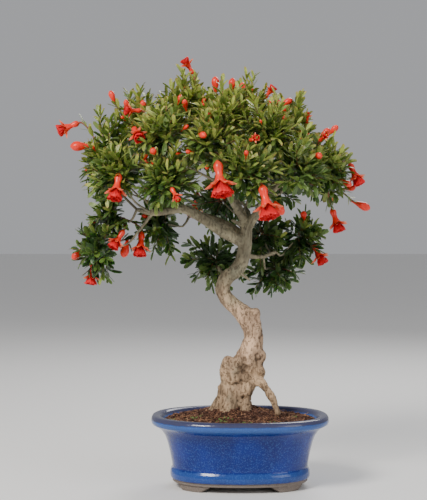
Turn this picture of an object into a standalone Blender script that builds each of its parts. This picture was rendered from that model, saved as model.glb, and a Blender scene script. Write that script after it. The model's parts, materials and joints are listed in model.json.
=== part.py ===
"""Dwarf pomegranate bonsai in flower, in an oval glazed pot. Metres, +Z up, front towards -Y.

The origin is on the ground, under the middle of the whole tree.
"""

import math
import random
from itertools import product

import bmesh
import bpy
import numpy as np
from mathutils import Matrix, Vector
from mathutils.bvhtree import BVHTree

MM = 0.001
GAP = 0.3 * MM
GOLDEN_ANGLE = math.radians(137.508)

# Pot: its profile is given as pairs of inset from the lip's edge and height, in mm
POT_CENTRE = Vector((30 * MM, 0, 0))
POT_LENGTH = 201 * MM
POT_DEPTH = 156 * MM
POT_SQUARENESS = 2.35
POT_SIDES = 30
POT_OUTSIDE = (
    (26, 7),
    (23.5, 9),
    (23, 20),
    (24, 23),
    (22.5, 33),
    (20, 45),
    (15.5, 59),
    (6, 69),
    (1, 72),
    (0, 76),
    (3, 81),
)
POT_INSIDE = ((9, 81), (13, 77), (27, 60), (31, 22), (35, 16))
FOOT_STATIONS = ((-1, 0.1), (-0.72, 0.62), (-0.4, 1), (0.4, 1), (0.72, 0.62), (1, 0.1))
FOOT_ANGLES = (43, 137, 223, 317)
FOOT_HALF_ANGLE = 25
FOOT_OUTER_INSET = 26.5
FOOT_THICKNESS = 10
FOOT_TOP = 10 * MM
HOLE_RADIUS = 7 * MM
HOLE_SIDES = 10
HOLE_OFFSET = 38 * MM
SCREEN_CELL = 4 * MM
SCREEN_CELLS = 7
SCREEN_THICKNESS = 1 * MM

# Soil
SOIL_EDGE = 75
SOIL_RINGS = (1, 0.7, 0.38)
SOIL_MOUND = 17 * MM
SOIL_MOUND_REACH = 48 * MM
SOIL_MOUND_CENTRE = Vector((24 * MM, 0, 0))

# Wood: each route is a list of points with their radius, in mm
TRUNK = (
    (24, 0, 66, 12),
    (23, 0, 84, 18),
    (24, 0, 98, 16.5),
    (28, -1, 118, 15),
    (34, -2, 134, 16),
    (41, -3, 149, 14.5),
    (45.5, -3, 165, 11.5),
    (44.5, -2, 177, 11.5),
    (39, 1, 189, 12),
    (31, 3, 197, 10.5),
    (20, 5, 206, 9),
    (12, 6, 215, 8.5),
    (10, 6, 225, 8.6),
    (15, 4, 235, 8.6),
    (24, 1, 242, 8.6),
    (31, -1, 252, 8.2),
    (35, -1, 267, 8),
    (36, 0, 283, 8),
    (37, 0, 296, 6.5),
)
LIMBS = {
    "front_left": (
        (36, -1, 274, 6.5),
        (22, -8, 281, 6.4),
        (9, -14, 288, 6.2),
        (-7, -21, 299, 6),
        (-22, -27, 308, 5.6),
        (-35, -32, 313, 5),
        (-50, -37, 310, 4),
        (-67, -41, 308, 3.2),
        (-84, -44, 312, 2.4),
    ),
    "back_left": (
        (35, 0, 280, 5.5),
        (22, 16, 291, 5),
        (0, 32, 302, 4.2),
        (-26, 44, 310, 3.4),
        (-52, 50, 318, 2.4),
    ),
    "centre": (
        (37, 0, 290, 6),
        (34, 1, 304, 4.8),
        (27, 1, 318, 4),
        (16, -2, 338, 3.4),
        (10, -3, 360, 2.8),
        (8, -3, 382, 2.2),
    ),
    "right": (
        (37, 0, 290, 6),
        (44, -1, 301, 5.2),
        (52, -3, 312, 4.6),
        (60, -5, 326, 4),
        (74, -7, 340, 3.2),
        (90, -8, 350, 2.4),
    ),
    "front": (
        (34, 0, 300, 4.2),
        (27, -14, 311, 3.8),
        (20, -32, 321, 3.2),
        (14, -52, 330, 2.4),
    ),
    "front_right": (
        (45, -1, 303, 4),
        (50, -18, 312, 3.4),
        (55, -38, 322, 2.8),
        (60, -56, 330, 2.2),
    ),
    "back": (
        (36, 1, 276, 5),
        (39, 18, 290, 4.2),
        (41, 38, 304, 3.4),
        (38, 60, 316, 2.6),
    ),
    "low_right": (
        (34, 0, 262, 3.6),
        (44, 10, 259, 3),
        (57, 21, 259, 2.6),
        (72, 32, 264, 2),
    ),
    "low_left": ((14, 5, 236, 3), (9, 18, 242, 2.4), (6, 30, 248, 1.8)),
}
STUBS = (
    ((27, -2, 243, 2.6), (34, -12, 238, 2.2), (42, -16, 232, 2)),
    ((12, -14, 289, 2.6), (11, -16, 296, 2.2)),
    ((48, -10, 127, 3.4), (55, -18, 131, 3)),
    ((36, 0, 292, 3), (27, -5, 297, 2.4), (20, -9, 301, 1.8)),
    ((-66, -41, 308, 2), (-75, -45, 322, 1.6), (-90, -48, 329, 1.2)),
)
ROOTS = (
    ((20, -3, 112, 10), (11, -5, 97, 10), (2, -7, 80, 9)),
    ((25, -5, 112, 10), (18, -13, 97, 10), (14, -20, 79, 9)),
    ((32, -4, 110, 9), (33, -11, 96, 9), (36, -19, 78, 8)),
    ((42, -8, 124, 6), (55, -14, 116, 5.5), (65, -17, 102, 5), (73, -19, 82, 4)),
    ((32, 6, 112, 10), (34, 13, 97, 10), (37, 22, 79, 9)),
    ((22, 6, 110, 10), (14, 12, 95, 9), (8, 18, 80, 8)),
)
BURLS = (
    (17, -6, 137, 9),
    (24, -12, 124, 9),
    (38, -14, 112, 9),
    (53, -6, 146, 7),
    (52, -9, 131, 7),
    (30, 12, 128, 10),
    (48, -2, 195, 6),
)

# Crown: each spray has its centre, in mm, and the limb and the point of it that carry it
CROWN_HEART = Vector((8, 0, 318)) * MM
SPRAYS = {
    "top_left": ((-31, -10, 423), "centre", 5),
    "top_right": ((36, 4, 422), "centre", 5),
    "top_back": ((-2, 50, 412), "centre", 4),
    "top_front": ((12, -60, 406), "centre", 4),
    "shoulder_left": ((-84, 2, 402), "centre", 4),
    "shoulder_front_left": ((-56, -66, 388), "centre", 3),
    "shoulder_front": ((-4, -86, 380), "front", 3),
    "shoulder_front_right": ((60, -66, 390), "front_right", 3),
    "shoulder_right": ((86, 8, 398), "right", 4),
    "shoulder_back_right": ((56, 66, 392), "back", 3),
    "shoulder_back": ((0, 84, 378), "back", 3),
    "shoulder_back_left": ((-58, 62, 390), "back_left", 4),
    "side_left": ((-120, -12, 364), "front_left", 8),
    "side_front_left": ((-102, -62, 348), "front_left", 7),
    "front_left": ((-50, -90, 340), "front_left", 5),
    "front": ((32, -98, 346), "front", 3),
    "side_front_right": ((90, -72, 350), "front_right", 3),
    "side_right": ((124, -22, 352), "right", 5),
    "side_back_right": ((116, 40, 352), "right", 4),
    "back_right": ((72, 86, 344), "back", 3),
    "back": ((10, 98, 324), "back", 3),
    "back_left": ((-50, 92, 336), "back_left", 4),
    "side_back_left": ((-106, 58, 348), "back_left", 4),
    "under_left": ((-56, 14, 296), "back_left", 3),
    "hanging_left": ((-112, -16, 306), "front_left", 8),
    "lowest_left": ((-124, -26, 268), "front_left", 7),
    "low_right_near": ((54, 48, 284), "low_right", 3),
    "low_right_far": ((98, 38, 282), "low_right", 3),
    "low_right_bottom": ((70, 54, 246), "low_right", 2),
    "low_left": ((2, 54, 256), "low_left", 2),
}
CORE_RADIUS = 24 * MM
CORE_HALF_HEIGHT = 13 * MM
CORE_FIT = (1, 0.9, 0.8, 0.7, 0.6, 0.5)
LESSER_SPRAYS = (
    "shoulder_front",
    "front_left",
    "front",
    "shoulder_back_right",
    "shoulder_back",
    "shoulder_back_left",
    "back_right",
    "back",
    "back_left",
    "side_back_left",
    "side_back_right",
    "under_left",
    "hanging_left",
    "lowest_left",
    "low_right_near",
    "low_right_far",
    "low_right_bottom",
    "low_left",
    "top_back",
)
SHOOT_TILTS = (26, 72, 78, 84)
TILT_CHANGES = (0, -14, 10, -28, 20)
TURN_STEP = math.radians(23)
TURN_STEPS = (0, 1, -1, 2, -2)
SHOOT_SCALES = (1, 0.86)
STEEP = math.radians(20)
SHOOT_START = 10 * MM
LEAF_LENGTH = 25 * MM
LEAF_WIDTH = 10 * MM
LEAF_BELLY = 0.58
LEAF_KEEL = 1.2 * MM
LEAF_FOLD = 0.35
LEAF_PAIRS = 1
LEAF_ANGLE = math.radians(48)
FIRST_PAIR = 20 * MM
PAIR_STEP = 7 * MM
RIB_HALF_WIDTH = 1.1 * MM
RIB_THICKNESS = 1 * MM
SHOOT_DROOP = 3.2
CLEARANCE = 0.4 * MM

# Flowers: kind, middle of the base and of the tip, in mm
FLOWERS = {
    "flower_top": ("open", (-22, -5, 464), (-33, -8, 481)),
    "flower_top_right": ("open", (57, 0, 437), (68, -2, 451)),
    "flower_upper_left": ("open", (-78, -45, 420), (-97, -50, 420)),
    "flower_far_left": ("open", (-150, -10, 410), (-174, -13, 400)),
    "flower_left": ("open", (-100, -92, 350), (-104, -104, 322)),
    "flower_centre": ("double", (4, -122, 362), (9, -134, 326)),
    "flower_right_centre": ("double", (50, -124, 337), (58, -134, 303)),
    "flower_low_left_near": ("open", (-98, -44, 290), (-110, -52, 270)),
    "flower_low_left_far": ("open", (-80, -20, 288), (-82, -28, 261)),
    "flower_lowest": ("open", (-134, -20, 254), (-137, -24, 229)),
    "flower_low_right": ("open", (132, -18, 314), (140, -24, 288)),
    "flower_back_pad": ("open", (114, 34, 274), (127, 28, 251)),
    "flower_right": ("open", (152, -12, 365), (163, -16, 340)),
    "flower_left_shoulder": ("open", (-86, -74, 400), (-78, -92, 386)),
    "flower_right_top": ("half", (104, -6, 408), (107, -10, 422)),
    "flower_right_edge": ("half", (116, -40, 387), (124, -54, 394)),
    "flower_front_right": ("half", (38, -106, 384), (46, -122, 386)),
    "flower_opening": ("half", (-44, -118, 334), (-36, -130, 320)),
    "flower_upper_right": ("half", (64, -25, 418), (72, -30, 434)),
    "flower_back_high": ("open", (20, 96, 408), (26, 116, 420)),
    "flower_back_low": ("double", (-20, 128, 336), (-24, 138, 306)),
    "flower_back_right": ("open", (96, 96, 362), (112, 112, 348)),
    "flower_back_left": ("open", (-86, 88, 366), (-100, 106, 362)),
    "bud_outermost_left": ("bud", (-140, -15, 383), (-160, -16, 383)),
    "bud_outermost_right": ("bud", (160, -6, 320), (176, -8, 313)),
}
BUDS = (
    ((2, -5, 446), (2, -6, 462)),
    ((20, 0, 446), (22, 0, 461)),
    ((33, 0, 442), (33, 0, 456)),
    ((77, 0, 430), (89, 0, 437)),
    ((131, -2, 398), (140, -4, 407)),
    ((120, -20, 394), (129, -24, 402)),
    ((109, -78, 370), (114, -90, 368)),
    ((77, -62, 404), (74, -68, 414)),
    ((-14, -108, 390), (-9, -120, 388)),
    ((-62, -100, 370), (-64, -112, 374)),
    ((-10, -84, 402), (-4, -90, 414)),
    ((-96, -15, 424), (-98, -17, 435)),
    ((-77, -20, 422), (-79, -22, 434)),
    ((-112, -5, 434), (-116, -6, 446)),
    ((-96, -28, 276), (-100, -31, 259)),
    ((-146, -15, 268), (-158, -18, 257)),
    ((142, -34, 344), (152, -38, 338)),
    ((148, -4, 336), (160, -6, 337)),
    ((103, 22, 300), (103, 16, 311)),
    ((-30, -44, 422), (-32, -50, 432)),
    ((66, -100, 318), (73, -108, 306)),
    ((-20, 80, 402), (-24, 92, 412)),
    ((40, 110, 364), (44, 122, 362)),
    ((-70, 104, 350), (-78, 114, 350)),
    ((-112, 76, 362), (-122, 84, 362)),
    ((132, 62, 356), (142, 70, 352)),
    ((30, 128, 322), (32, 136, 310)),
)
BUD_PROFILE = ((0.45, 0.3), (0.75, 0.27), (1, 0.06))
SEPALS = 5
CALYX_SPANS = 4
HALF_OPEN = 0.75
SINGLE_PETALS = ((0.98, 0.27),)
DOUBLE_PETALS = ((0.9, 0.36), (1.0, 0.24))
STEM_RADIUS = 1.3 * MM
TWIG_TURN = 14
STALK_RADIUS = 0.9 * MM
STALK_BEND = 5 * MM
STALK_ROOT = 4 * MM


def clear_scene():
    """Empty the scene of whatever it started with."""
    for old in list(bpy.data.objects):
        bpy.data.objects.remove(old)


def material(name, colour, roughness, metallic=0.0, coat=0.0):
    """A plain surface of one colour."""
    finish = bpy.data.materials.new(name)
    finish.use_nodes = True
    shader = finish.node_tree.nodes["Principled BSDF"]
    shader.inputs["Base Color"].default_value = (*colour, 1)
    shader.inputs["Roughness"].default_value = roughness
    shader.inputs["Metallic"].default_value = metallic
    shader.inputs["Coat Weight"].default_value = coat
    return finish


def solid(name, bm, finishes):
    """A new object that holds the mesh, split into triangles, with its faces outward."""
    bmesh.ops.recalc_face_normals(bm, faces=bm.faces)
    bmesh.ops.triangulate(bm, faces=bm.faces)
    mesh = bpy.data.meshes.new(name)
    bm.to_mesh(mesh)
    bm.free()
    for finish in finishes:
        mesh.materials.append(finish)
    obj = bpy.data.objects.new(name, mesh)
    bpy.context.scene.collection.objects.link(obj)
    return obj


def loft(rings):
    """A closed body through rings of equally many points, with a cap at each end."""
    bm = bmesh.new()
    loops = [[bm.verts.new(point) for point in ring] for ring in rings]
    bm.faces.new(reversed(loops[0]))
    bm.faces.new(loops[-1])
    for low, high in zip(loops, loops[1:]):
        for i, vert in enumerate(low):
            j = (i + 1) % len(low)
            bm.faces.new((vert, low[j], high[j], high[i]))
    return bm


def facing(direction):
    """A rotation that turns +Z to the direction."""
    return direction.to_track_quat("Z", "Y").to_matrix()


def turned(base, tip, profile, sides):
    """A round body from base to tip: the profile pairs the share of the way with the radius."""
    axis = tip - base
    return loft([ring_round(base + axis * share, axis, radius, sides) for share, radius in profile])


def stem(route, sides, finishes, extra=0.0):
    """A round stem along a smooth curve through the route, which is in mm with a radius."""
    curve = bpy.data.curves.new("stem", "CURVE")
    curve.dimensions = "3D"
    curve.bevel_depth = 1.0
    curve.bevel_resolution = (sides - 4) // 2
    curve.resolution_u = 1
    curve.use_fill_caps = True
    spline = curve.splines.new("BEZIER")
    spline.bezier_points.add(len(route) - 1)
    for knot, (x, y, z, radius) in zip(spline.bezier_points, route):
        knot.co = Vector((x, y, z)) * MM
        knot.radius = radius * MM + extra
        knot.handle_left_type = "AUTO"
        knot.handle_right_type = "AUTO"
    line = bpy.data.objects.new("stem", curve)
    bpy.context.scene.collection.objects.link(line)
    graph = bpy.context.evaluated_depsgraph_get()
    swept = bpy.data.meshes.new_from_object(line.evaluated_get(graph))
    bm = bmesh.new()
    bm.from_mesh(swept)
    bmesh.ops.remove_doubles(bm, verts=bm.verts, dist=0.001 * MM)
    bpy.data.objects.remove(line)
    return solid("stem", bm, finishes)


def burl(x, y, z, radius, finishes, extra=0.0):
    """A rough lump of wood, flattened a little, with its centre in mm."""
    bm = bmesh.new()
    place = Matrix.Translation(Vector((x, y, z)) * MM) @ Matrix.Diagonal((1, 1, 1.25, 1))
    bmesh.ops.create_icosphere(bm, subdivisions=1, radius=radius * MM + extra, matrix=place)
    return solid("burl", bm, finishes)


def combine(body, others, operation="UNION", solver="EXACT"):
    """Join the others to the body, or cut them from it, by one Boolean, and remove them."""
    group = bpy.data.collections.new("others")
    bpy.context.scene.collection.children.link(group)
    for other in others:
        group.objects.link(other)
    boolean = body.modifiers.new("combine", "BOOLEAN")
    boolean.operation = operation
    boolean.operand_type = "COLLECTION"
    boolean.collection = group
    boolean.solver = solver
    graph = bpy.context.evaluated_depsgraph_get()
    joined = bpy.data.meshes.new_from_object(body.evaluated_get(graph))
    body.modifiers.clear()
    body.data = joined
    for other in others:
        bpy.data.objects.remove(other)
    bpy.data.collections.remove(group)
    return body


def keep_outer_shell(body):
    """Drop loose scraps, and the walls of hollows that a union sealed, so that they are filled."""
    bm = bmesh.new()
    bm.from_mesh(body.data)
    bmesh.ops.triangulate(bm, faces=bm.faces)
    shells = []
    left = set(bm.faces)
    while left:
        shell = set()
        front = [left.pop()]
        while front:
            face = front.pop()
            shell.add(face)
            for edge in face.edges:
                for near in edge.link_faces:
                    if edge.is_manifold and near in left:
                        left.discard(near)
                        front.append(near)
        shells.append(shell)
    main_shell = max(shells, key=len)
    scraps = [face for shell in shells if shell is not main_shell for face in shell]
    bmesh.ops.delete(bm, geom=scraps, context="FACES")
    bm.to_mesh(body.data)
    bm.free()


def finish_node(body, name, smooth_angle=None):
    """Name a node, and shade it smooth where it is round."""
    keep_outer_shell(body)
    body.name = name
    body.data.name = name
    if smooth_angle is not None:
        body.data.shade_smooth()
        body.data.set_sharp_from_angle(angle=smooth_angle)
    return body


# Pot, screens and soil


def oval(inset, height, sides=POT_SIDES):
    """A ring of the pot, the inset in mm inside its lip, at a height in metres."""
    ring = []
    for i in range(sides):
        angle = 2 * math.pi * (i + 0.5) / sides
        ring.append(oval_point(angle, inset, height))
    return ring


def oval_point(angle, inset, height):
    """One point of the pot's outline, a squared oval, at an angle from its middle."""
    power = 2 / POT_SQUARENESS
    along = math.copysign(abs(math.cos(angle)) ** power, math.cos(angle))
    across = math.copysign(abs(math.sin(angle)) ** power, math.sin(angle))
    x = (POT_LENGTH / 2 - inset * MM) * along
    y = (POT_DEPTH / 2 - inset * MM) * across
    return POT_CENTRE + Vector((x, y, height))


def make_foot(angle, finishes):
    """One cloud foot, which follows the pot's outline and curves up at both ends."""
    rings = []
    for place, share in FOOT_STATIONS:
        turn = math.radians(angle + place * FOOT_HALF_ANGLE)
        bottom = FOOT_TOP * (1 - share)
        corners = ((FOOT_OUTER_INSET, FOOT_TOP), (FOOT_OUTER_INSET + 0.8, bottom))
        inner = FOOT_OUTER_INSET + FOOT_THICKNESS
        ring = [oval_point(turn, inset, height) for inset, height in corners]
        ring.append(oval_point(turn, inner, bottom))
        ring.append(oval_point(turn, inner, FOOT_TOP))
        rings.append(ring)
    return solid("foot", loft(rings), finishes)


def make_hole(side, finishes):
    """A cutter for one drain hole."""
    bm = bmesh.new()
    floor = POT_INSIDE[-1][1] * MM
    place = Matrix.Translation(POT_CENTRE + Vector((side * HOLE_OFFSET, 0, floor / 2)))
    bmesh.ops.create_cone(
        bm,
        cap_ends=True,
        segments=HOLE_SIDES,
        radius1=HOLE_RADIUS,
        radius2=HOLE_RADIUS,
        depth=2 * floor,
        matrix=place,
    )
    return solid("hole", bm, finishes)


def make_pot(glaze):
    """The pot, open at the top, on four feet, with two drain holes."""
    rings = [oval(inset, z * MM) for inset, z in POT_OUTSIDE + POT_INSIDE]
    pot = solid("pot", loft(rings), [glaze])
    combine(pot, [make_foot(angle, [glaze]) for angle in FOOT_ANGLES])
    combine(pot, [make_hole(side, [glaze]) for side in (-1, 1)], "DIFFERENCE")
    return finish_node(pot, "pot", math.radians(40))


def screen_place(side):
    """The middle of the underside of one drain screen, just above the pot's floor."""
    return POT_CENTRE + Vector((side * HOLE_OFFSET, 0, POT_INSIDE[-1][1] * MM + GAP))


def make_screen(side, name, plastic):
    """A square of plastic mesh over a drain hole."""
    bm = bmesh.new()
    half = SCREEN_CELL * SCREEN_CELLS / 2
    place = Matrix.Translation(screen_place(side))
    bmesh.ops.create_grid(
        bm, x_segments=SCREEN_CELLS, y_segments=SCREEN_CELLS, size=half, matrix=place
    )
    middle = screen_place(side)
    open_cells = []
    for face in bm.faces:
        offset = face.calc_center_median() - middle
        column = round(offset.x / SCREEN_CELL)
        row = round(offset.y / SCREEN_CELL)
        if column % 2 == 0 and row % 2 == 0:
            open_cells.append(face)
    bmesh.ops.delete(bm, geom=open_cells, context="FACES")
    walls = bmesh.ops.extrude_face_region(bm, geom=bm.faces[:])
    raised = [item for item in walls["geom"] if isinstance(item, bmesh.types.BMVert)]
    bmesh.ops.translate(bm, verts=raised, vec=(0, 0, SCREEN_THICKNESS))
    screen = solid(name, bm, [plastic])
    return finish_node(screen, name)


def make_screen_room(side, finishes):
    """A cutter that keeps the soil clear of one drain screen."""
    bm = bmesh.new()
    size = SCREEN_CELL * SCREEN_CELLS + 2 * GAP
    height = 2 * (SCREEN_THICKNESS + 2 * GAP)
    place = Matrix.Translation(screen_place(side)) @ Matrix.Diagonal((size, size, height, 1))
    bmesh.ops.create_cube(bm, size=1, matrix=place)
    return solid("screen_room", bm, finishes)


def soil_height(point):
    """The height of the soil's surface, mounded up towards the trunk, with small waves."""
    distance = (point - SOIL_MOUND_CENTRE).xy.length
    mound = SOIL_MOUND * math.exp(-((distance / SOIL_MOUND_REACH) ** 2))
    waves = math.sin(point.x * 171) * math.cos(point.y * 143 + 1)
    return SOIL_EDGE * MM + mound + waves * MM


def make_soil(earth, wood_cutter, finishes):
    """The soil, which fills the pot, with plain holes for the trunk and roots."""
    heights = [z for _, z in reversed(POT_INSIDE)]
    insets = [inset for inset, _ in reversed(POT_INSIDE)]
    rings = []
    for z in (16, 22, 60, SOIL_EDGE):
        inset = np.interp(z, heights, insets) + GAP / MM
        lift = GAP if z == heights[0] else 0
        rings.append(oval(inset, z * MM + lift))
    edge = rings[-1]
    for share in SOIL_RINGS:
        ring = []
        for point in edge:
            inner = POT_CENTRE + (point - POT_CENTRE) * share
            inner.z = soil_height(inner) if share < 1 else SOIL_EDGE * MM + 1 * MM
            ring.append(inner)
        if share < 1:
            rings.append(ring)
    soil = solid("soil", loft(rings), [earth])
    cutters = [wood_cutter] + [make_screen_room(side, finishes) for side in (-1, 1)]
    combine(soil, cutters, "DIFFERENCE")
    return finish_node(soil, "soil", math.radians(50))


# Wood


def make_foot_wood(bark, extra=0.0):
    """The trunk's lower part with its roots and burls, or with extra, a cutter for its hole."""
    pieces = [stem(route, 6, [bark], extra) for route in ROOTS]
    pieces += [burl(*place, [bark], extra) for place in BURLS]
    trunk = stem(TRUNK, 8, [bark], extra)
    return combine(trunk, pieces)


def twig_route(spray):
    """The twig from a limb to just under a spray's core, in mm with radii."""
    centre, limb, index = SPRAYS[spray]
    start = Vector(LIMBS[limb][index][:3])
    start_radius = min(LIMBS[limb][index][3] * 0.6, 2)
    end = twig_end(spray) / MM
    before = end - (Vector(centre) - end).normalized() * TWIG_TURN
    tip_radius = STEM_RADIUS / MM
    return ((*start, start_radius), (*before, tip_radius), (*end, tip_radius))


def twig_end(spray):
    """Where the wood ends and a spray's own stem begins, below its centre."""
    centre, limb, index = SPRAYS[spray]
    start = Vector(LIMBS[limb][index][:3]) * MM
    middle = Vector(centre) * MM
    back = (start - middle).normalized() + Vector((0, 0, -0.4))
    return middle + back.normalized() * (CORE_RADIUS + 5 * MM)


def make_trunk(bark):
    """All the wood: trunk, roots, burls, limbs, stubs and the twigs out to the sprays."""
    pieces = [stem(route, 6, [bark]) for route in LIMBS.values()]
    pieces += [stem(route, 4, [bark]) for route in STUBS]
    pieces += [stem(twig_route(spray), 4, [bark]) for spray in SPRAYS]
    trunk = combine(make_foot_wood(bark), pieces)
    return finish_node(trunk, "trunk", math.radians(60))


# Crown


class Clearance:
    """The surfaces placed so far, each with the node it belongs to."""

    def __init__(self):
        self.placed = []

    def surface(self, bm, grow=0.0):
        """A search tree of the mesh, swollen by the amount."""
        copy = bm.copy()
        bmesh.ops.recalc_face_normals(copy, faces=copy.faces)
        copy.normal_update()
        for vert in copy.verts:
            vert.co += vert.normal * grow
        tree = BVHTree.FromBMesh(copy)
        copy.free()
        return tree

    def is_clear(self, bm, owner, grow=0.0):
        """Whether the mesh crosses nothing that belongs to another node."""
        tree = self.surface(bm, grow)
        for other, surface in self.placed:
            if other != owner and tree.overlap(surface):
                return False
        return True

    def add(self, bm, owner):
        """Keep the mesh's surface as the owner's."""
        self.placed.append((owner, self.surface(bm)))


def core_mesh(centre, outward, fit, draw):
    """A rough small core, flattened along the outward direction."""
    bm = bmesh.new()
    size = Matrix.Diagonal((CORE_RADIUS * fit, CORE_RADIUS * fit, CORE_HALF_HEIGHT * fit, 1))
    place = Matrix.Translation(centre) @ facing(outward).to_4x4() @ size
    bmesh.ops.create_icosphere(bm, subdivisions=1, radius=1)
    for vert in bm.verts:
        vert.co *= draw.uniform(0.95, 1.25)
    bmesh.ops.transform(bm, matrix=place, verts=bm.verts)
    return bm


def bend_down(point):
    """Where a point of a flat shoot comes when its leaves fold up and its tip hangs."""
    fold = LEAF_FOLD * max(abs(point.y) - RIB_HALF_WIDTH, 0)
    return point + Vector((0, 0, fold - SHOOT_DROOP * point.x**2))


def add_leaf(bm, low_root, high_root, along, side):
    """A blunt keeled leaf that grows from two edges of the rib, each of a top and a bottom point."""
    root = (low_root[2] + high_root[2]) / 2
    across = Vector((-along.y, along.x, 0)) * side * LEAF_WIDTH / 2
    belly = root + along * LEAF_LENGTH * LEAF_BELLY
    outline = (belly + across, root + along * LEAF_LENGTH, belly - across)
    low, tip, high = [bm.verts.new(bend_down(point)) for point in outline]
    keel = bm.verts.new((low.co + high.co) / 2 + Vector((0, 0, LEAF_KEEL)))
    rim = (low_root[0], low, tip, high, high_root[0])
    for first, second in zip(rim, rim[1:]):
        bm.faces.new((first, second, keel))
    bm.faces.new((high_root[0], low_root[0], keel))
    bm.faces.new((high, tip, low))
    bm.faces.new((high, low, low_root[1]))
    bm.faces.new((high_root[1], high, low_root[1]))
    bm.faces.new((low_root[0], low_root[1], low))
    bm.faces.new((high_root[0], high, high_root[1]))


def rib_point(bm, station, side):
    """The top and bottom point of one edge of the rib, and their place before the shoot bends."""
    flat = Vector((station, side * RIB_HALF_WIDTH, 0))
    rise = Vector((0, 0, RIB_THICKNESS / 2))
    middle = bend_down(flat)
    return bm.verts.new(middle + rise), bm.verts.new(middle - rise), flat


def shoot_mesh(origin, direction, up, scale):
    """A shoot: one thin arched blade along a rib, with its leaves cut to the rib."""
    bm = bmesh.new()
    stations = [SHOOT_START] + [FIRST_PAIR + PAIR_STEP * i for i in range(LEAF_PAIRS + 1)]
    rails = {side: [rib_point(bm, station, side) for station in stations] for side in (-1, 1)}
    right, left = rails[-1], rails[1]
    for i in range(len(stations) - 1):
        bm.faces.new((right[i][0], right[i + 1][0], left[i + 1][0], left[i][0]))
        bm.faces.new((right[i][1], left[i][1], left[i + 1][1], right[i + 1][1]))
    for rail in (right, left):
        bm.faces.new((rail[0][0], rail[0][1], rail[1][1], rail[1][0]))
    bm.faces.new((right[0][0], left[0][0], left[0][1], right[0][1]))
    for side, rail in rails.items():
        along = Vector((math.cos(LEAF_ANGLE), side * math.sin(LEAF_ANGLE), 0))
        for i in range(1, LEAF_PAIRS + 1):
            add_leaf(bm, rail[i], rail[i + 1], along, side)
    add_leaf(bm, right[-1], left[-1], Vector((1, 0, 0)), -1)
    bmesh.ops.recalc_face_normals(bm, faces=bm.faces)
    direction = direction.normalized()
    across = up.cross(direction).normalized()
    frame = Matrix((direction, across, direction.cross(across))).transposed()
    place = Matrix.Translation(origin) @ frame.to_4x4() @ Matrix.Scale(scale, 4)
    bmesh.ops.transform(bm, matrix=place, verts=bm.verts)
    return bm


def outward_at(centre):
    """The way out of the crown at a point of it."""
    away = centre - CROWN_HEART
    away.z = away.z * 1.3 + 25 * MM
    return away.normalized()


class Spray:
    """One leafy spray: its stem, its core, its shoots, its flower stalks and its buds."""

    def __init__(self, name, number):
        self.name = "spray_" + name
        self.number = number
        self.centre = Vector(SPRAYS[name][0]) * MM
        self.outward = outward_at(self.centre)
        self.pieces = []
        self.fit = 1
        self.shoots = len(SHOOT_TILTS) - (name in LESSER_SPRAYS)
        self.twig_end = twig_end(name)
        self.draw = random.Random(1000 + number)

    def keep(self, bm, space):
        """Make the mesh part of this spray."""
        self.pieces.append(bm)
        space.add(bm, self.name)

    def grow_core(self, space):
        """The stem from the twig, and the largest core that crosses no wood or other core."""
        start = self.twig_end + (self.centre - self.twig_end).normalized() * GAP
        for fit in CORE_FIT:
            core = core_mesh(self.centre, self.outward, fit, random.Random(self.number))
            if space.is_clear(core, self.name):
                self.fit = fit
                break
        else:
            raise ValueError("no room for the core of " + self.name)
        self.keep(core, space)
        profile = ((0, STEM_RADIUS), (1, STEM_RADIUS))
        self.keep(turned(start, self.centre, profile, 4), space)

    def stalk_start(self, goal):
        """A place in the core, on the side of the goal, for a stalk to grow from."""
        way = (goal - self.centre).normalized()
        spread = Vector(self.draw.uniform(-1, 1) for _ in range(3))
        return self.centre + (way + spread) * STALK_ROOT * self.fit

    def offer_stalk(self, base, tip, space):
        """Grow a bare stalk out to a flower, which it meets in line, if the way is free."""
        stalk = stalk_mesh(self.stalk_start(base), base, tip, GAP + 0.1 * MM)
        free = space.is_clear(stalk, self.name)
        if free:
            self.keep(stalk, space)
        return free

    def offer_bud(self, base, tip, space):
        """Grow a bud on its stalk, fused to this spray, if the way is free."""
        bud = stalked_bud_mesh(self.stalk_start(base), base, tip)
        free = space.is_clear(bud, self.name)
        if free:
            self.keep(bud, space)
        return free

    def shoot_choices(self, index):
        """Ways in which a shoot may point, the best first."""
        side = self.outward.orthogonal()
        first = GOLDEN_ANGLE * self.number + 2 * math.pi * index / self.shoots
        for scale, change, step in product(SHOOT_SCALES, TILT_CHANGES, TURN_STEPS):
            tilt = math.radians(SHOOT_TILTS[index] + change)
            turn = Matrix.Rotation(first + step * TURN_STEP, 3, self.outward)
            flat = (turn @ side).normalized()
            direction = self.outward * math.cos(tilt) + flat * math.sin(tilt)
            yield direction, self.outward if tilt > STEEP else flat, scale

    def grow_shoots(self, space):
        """Add the shoots, each where it crosses no other node."""
        for index in range(self.shoots):
            for direction, up, scale in self.shoot_choices(index):
                shoot = shoot_mesh(self.centre, direction, up, scale)
                if space.is_clear(shoot, self.name, CLEARANCE):
                    self.keep(shoot, space)
                    break
                shoot.free()

    def build(self, leaf, bud):
        """Fuse all of it into one solid."""
        solids = [solid(self.name, bm, [leaf, bud]) for bm in self.pieces]
        return finish_node(combine(solids[0], solids[1:], solver="MANIFOLD"), self.name)


# Flowers


def ring_round(middle, direction, radius, sides):
    """A ring of points round a line, square to it."""
    frame = facing(direction)
    turns = (2 * math.pi * i / sides for i in range(sides))
    return [middle + frame @ Vector((math.cos(a), math.sin(a), 0)) * radius for a in turns]


def stalk_mesh(start, base, tip, short):
    """A thin bare stalk from inside a spray, which ends short of a flower's base, in line with it."""
    axis = (tip - base).normalized()
    end = base - axis * short
    bend = end - axis * STALK_BEND
    way = (bend - start).normalized()
    places = ((start, way), (bend, way + axis), (end, axis))
    return loft([ring_round(middle, direction, STALK_RADIUS, 4) for middle, direction in places])


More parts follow.
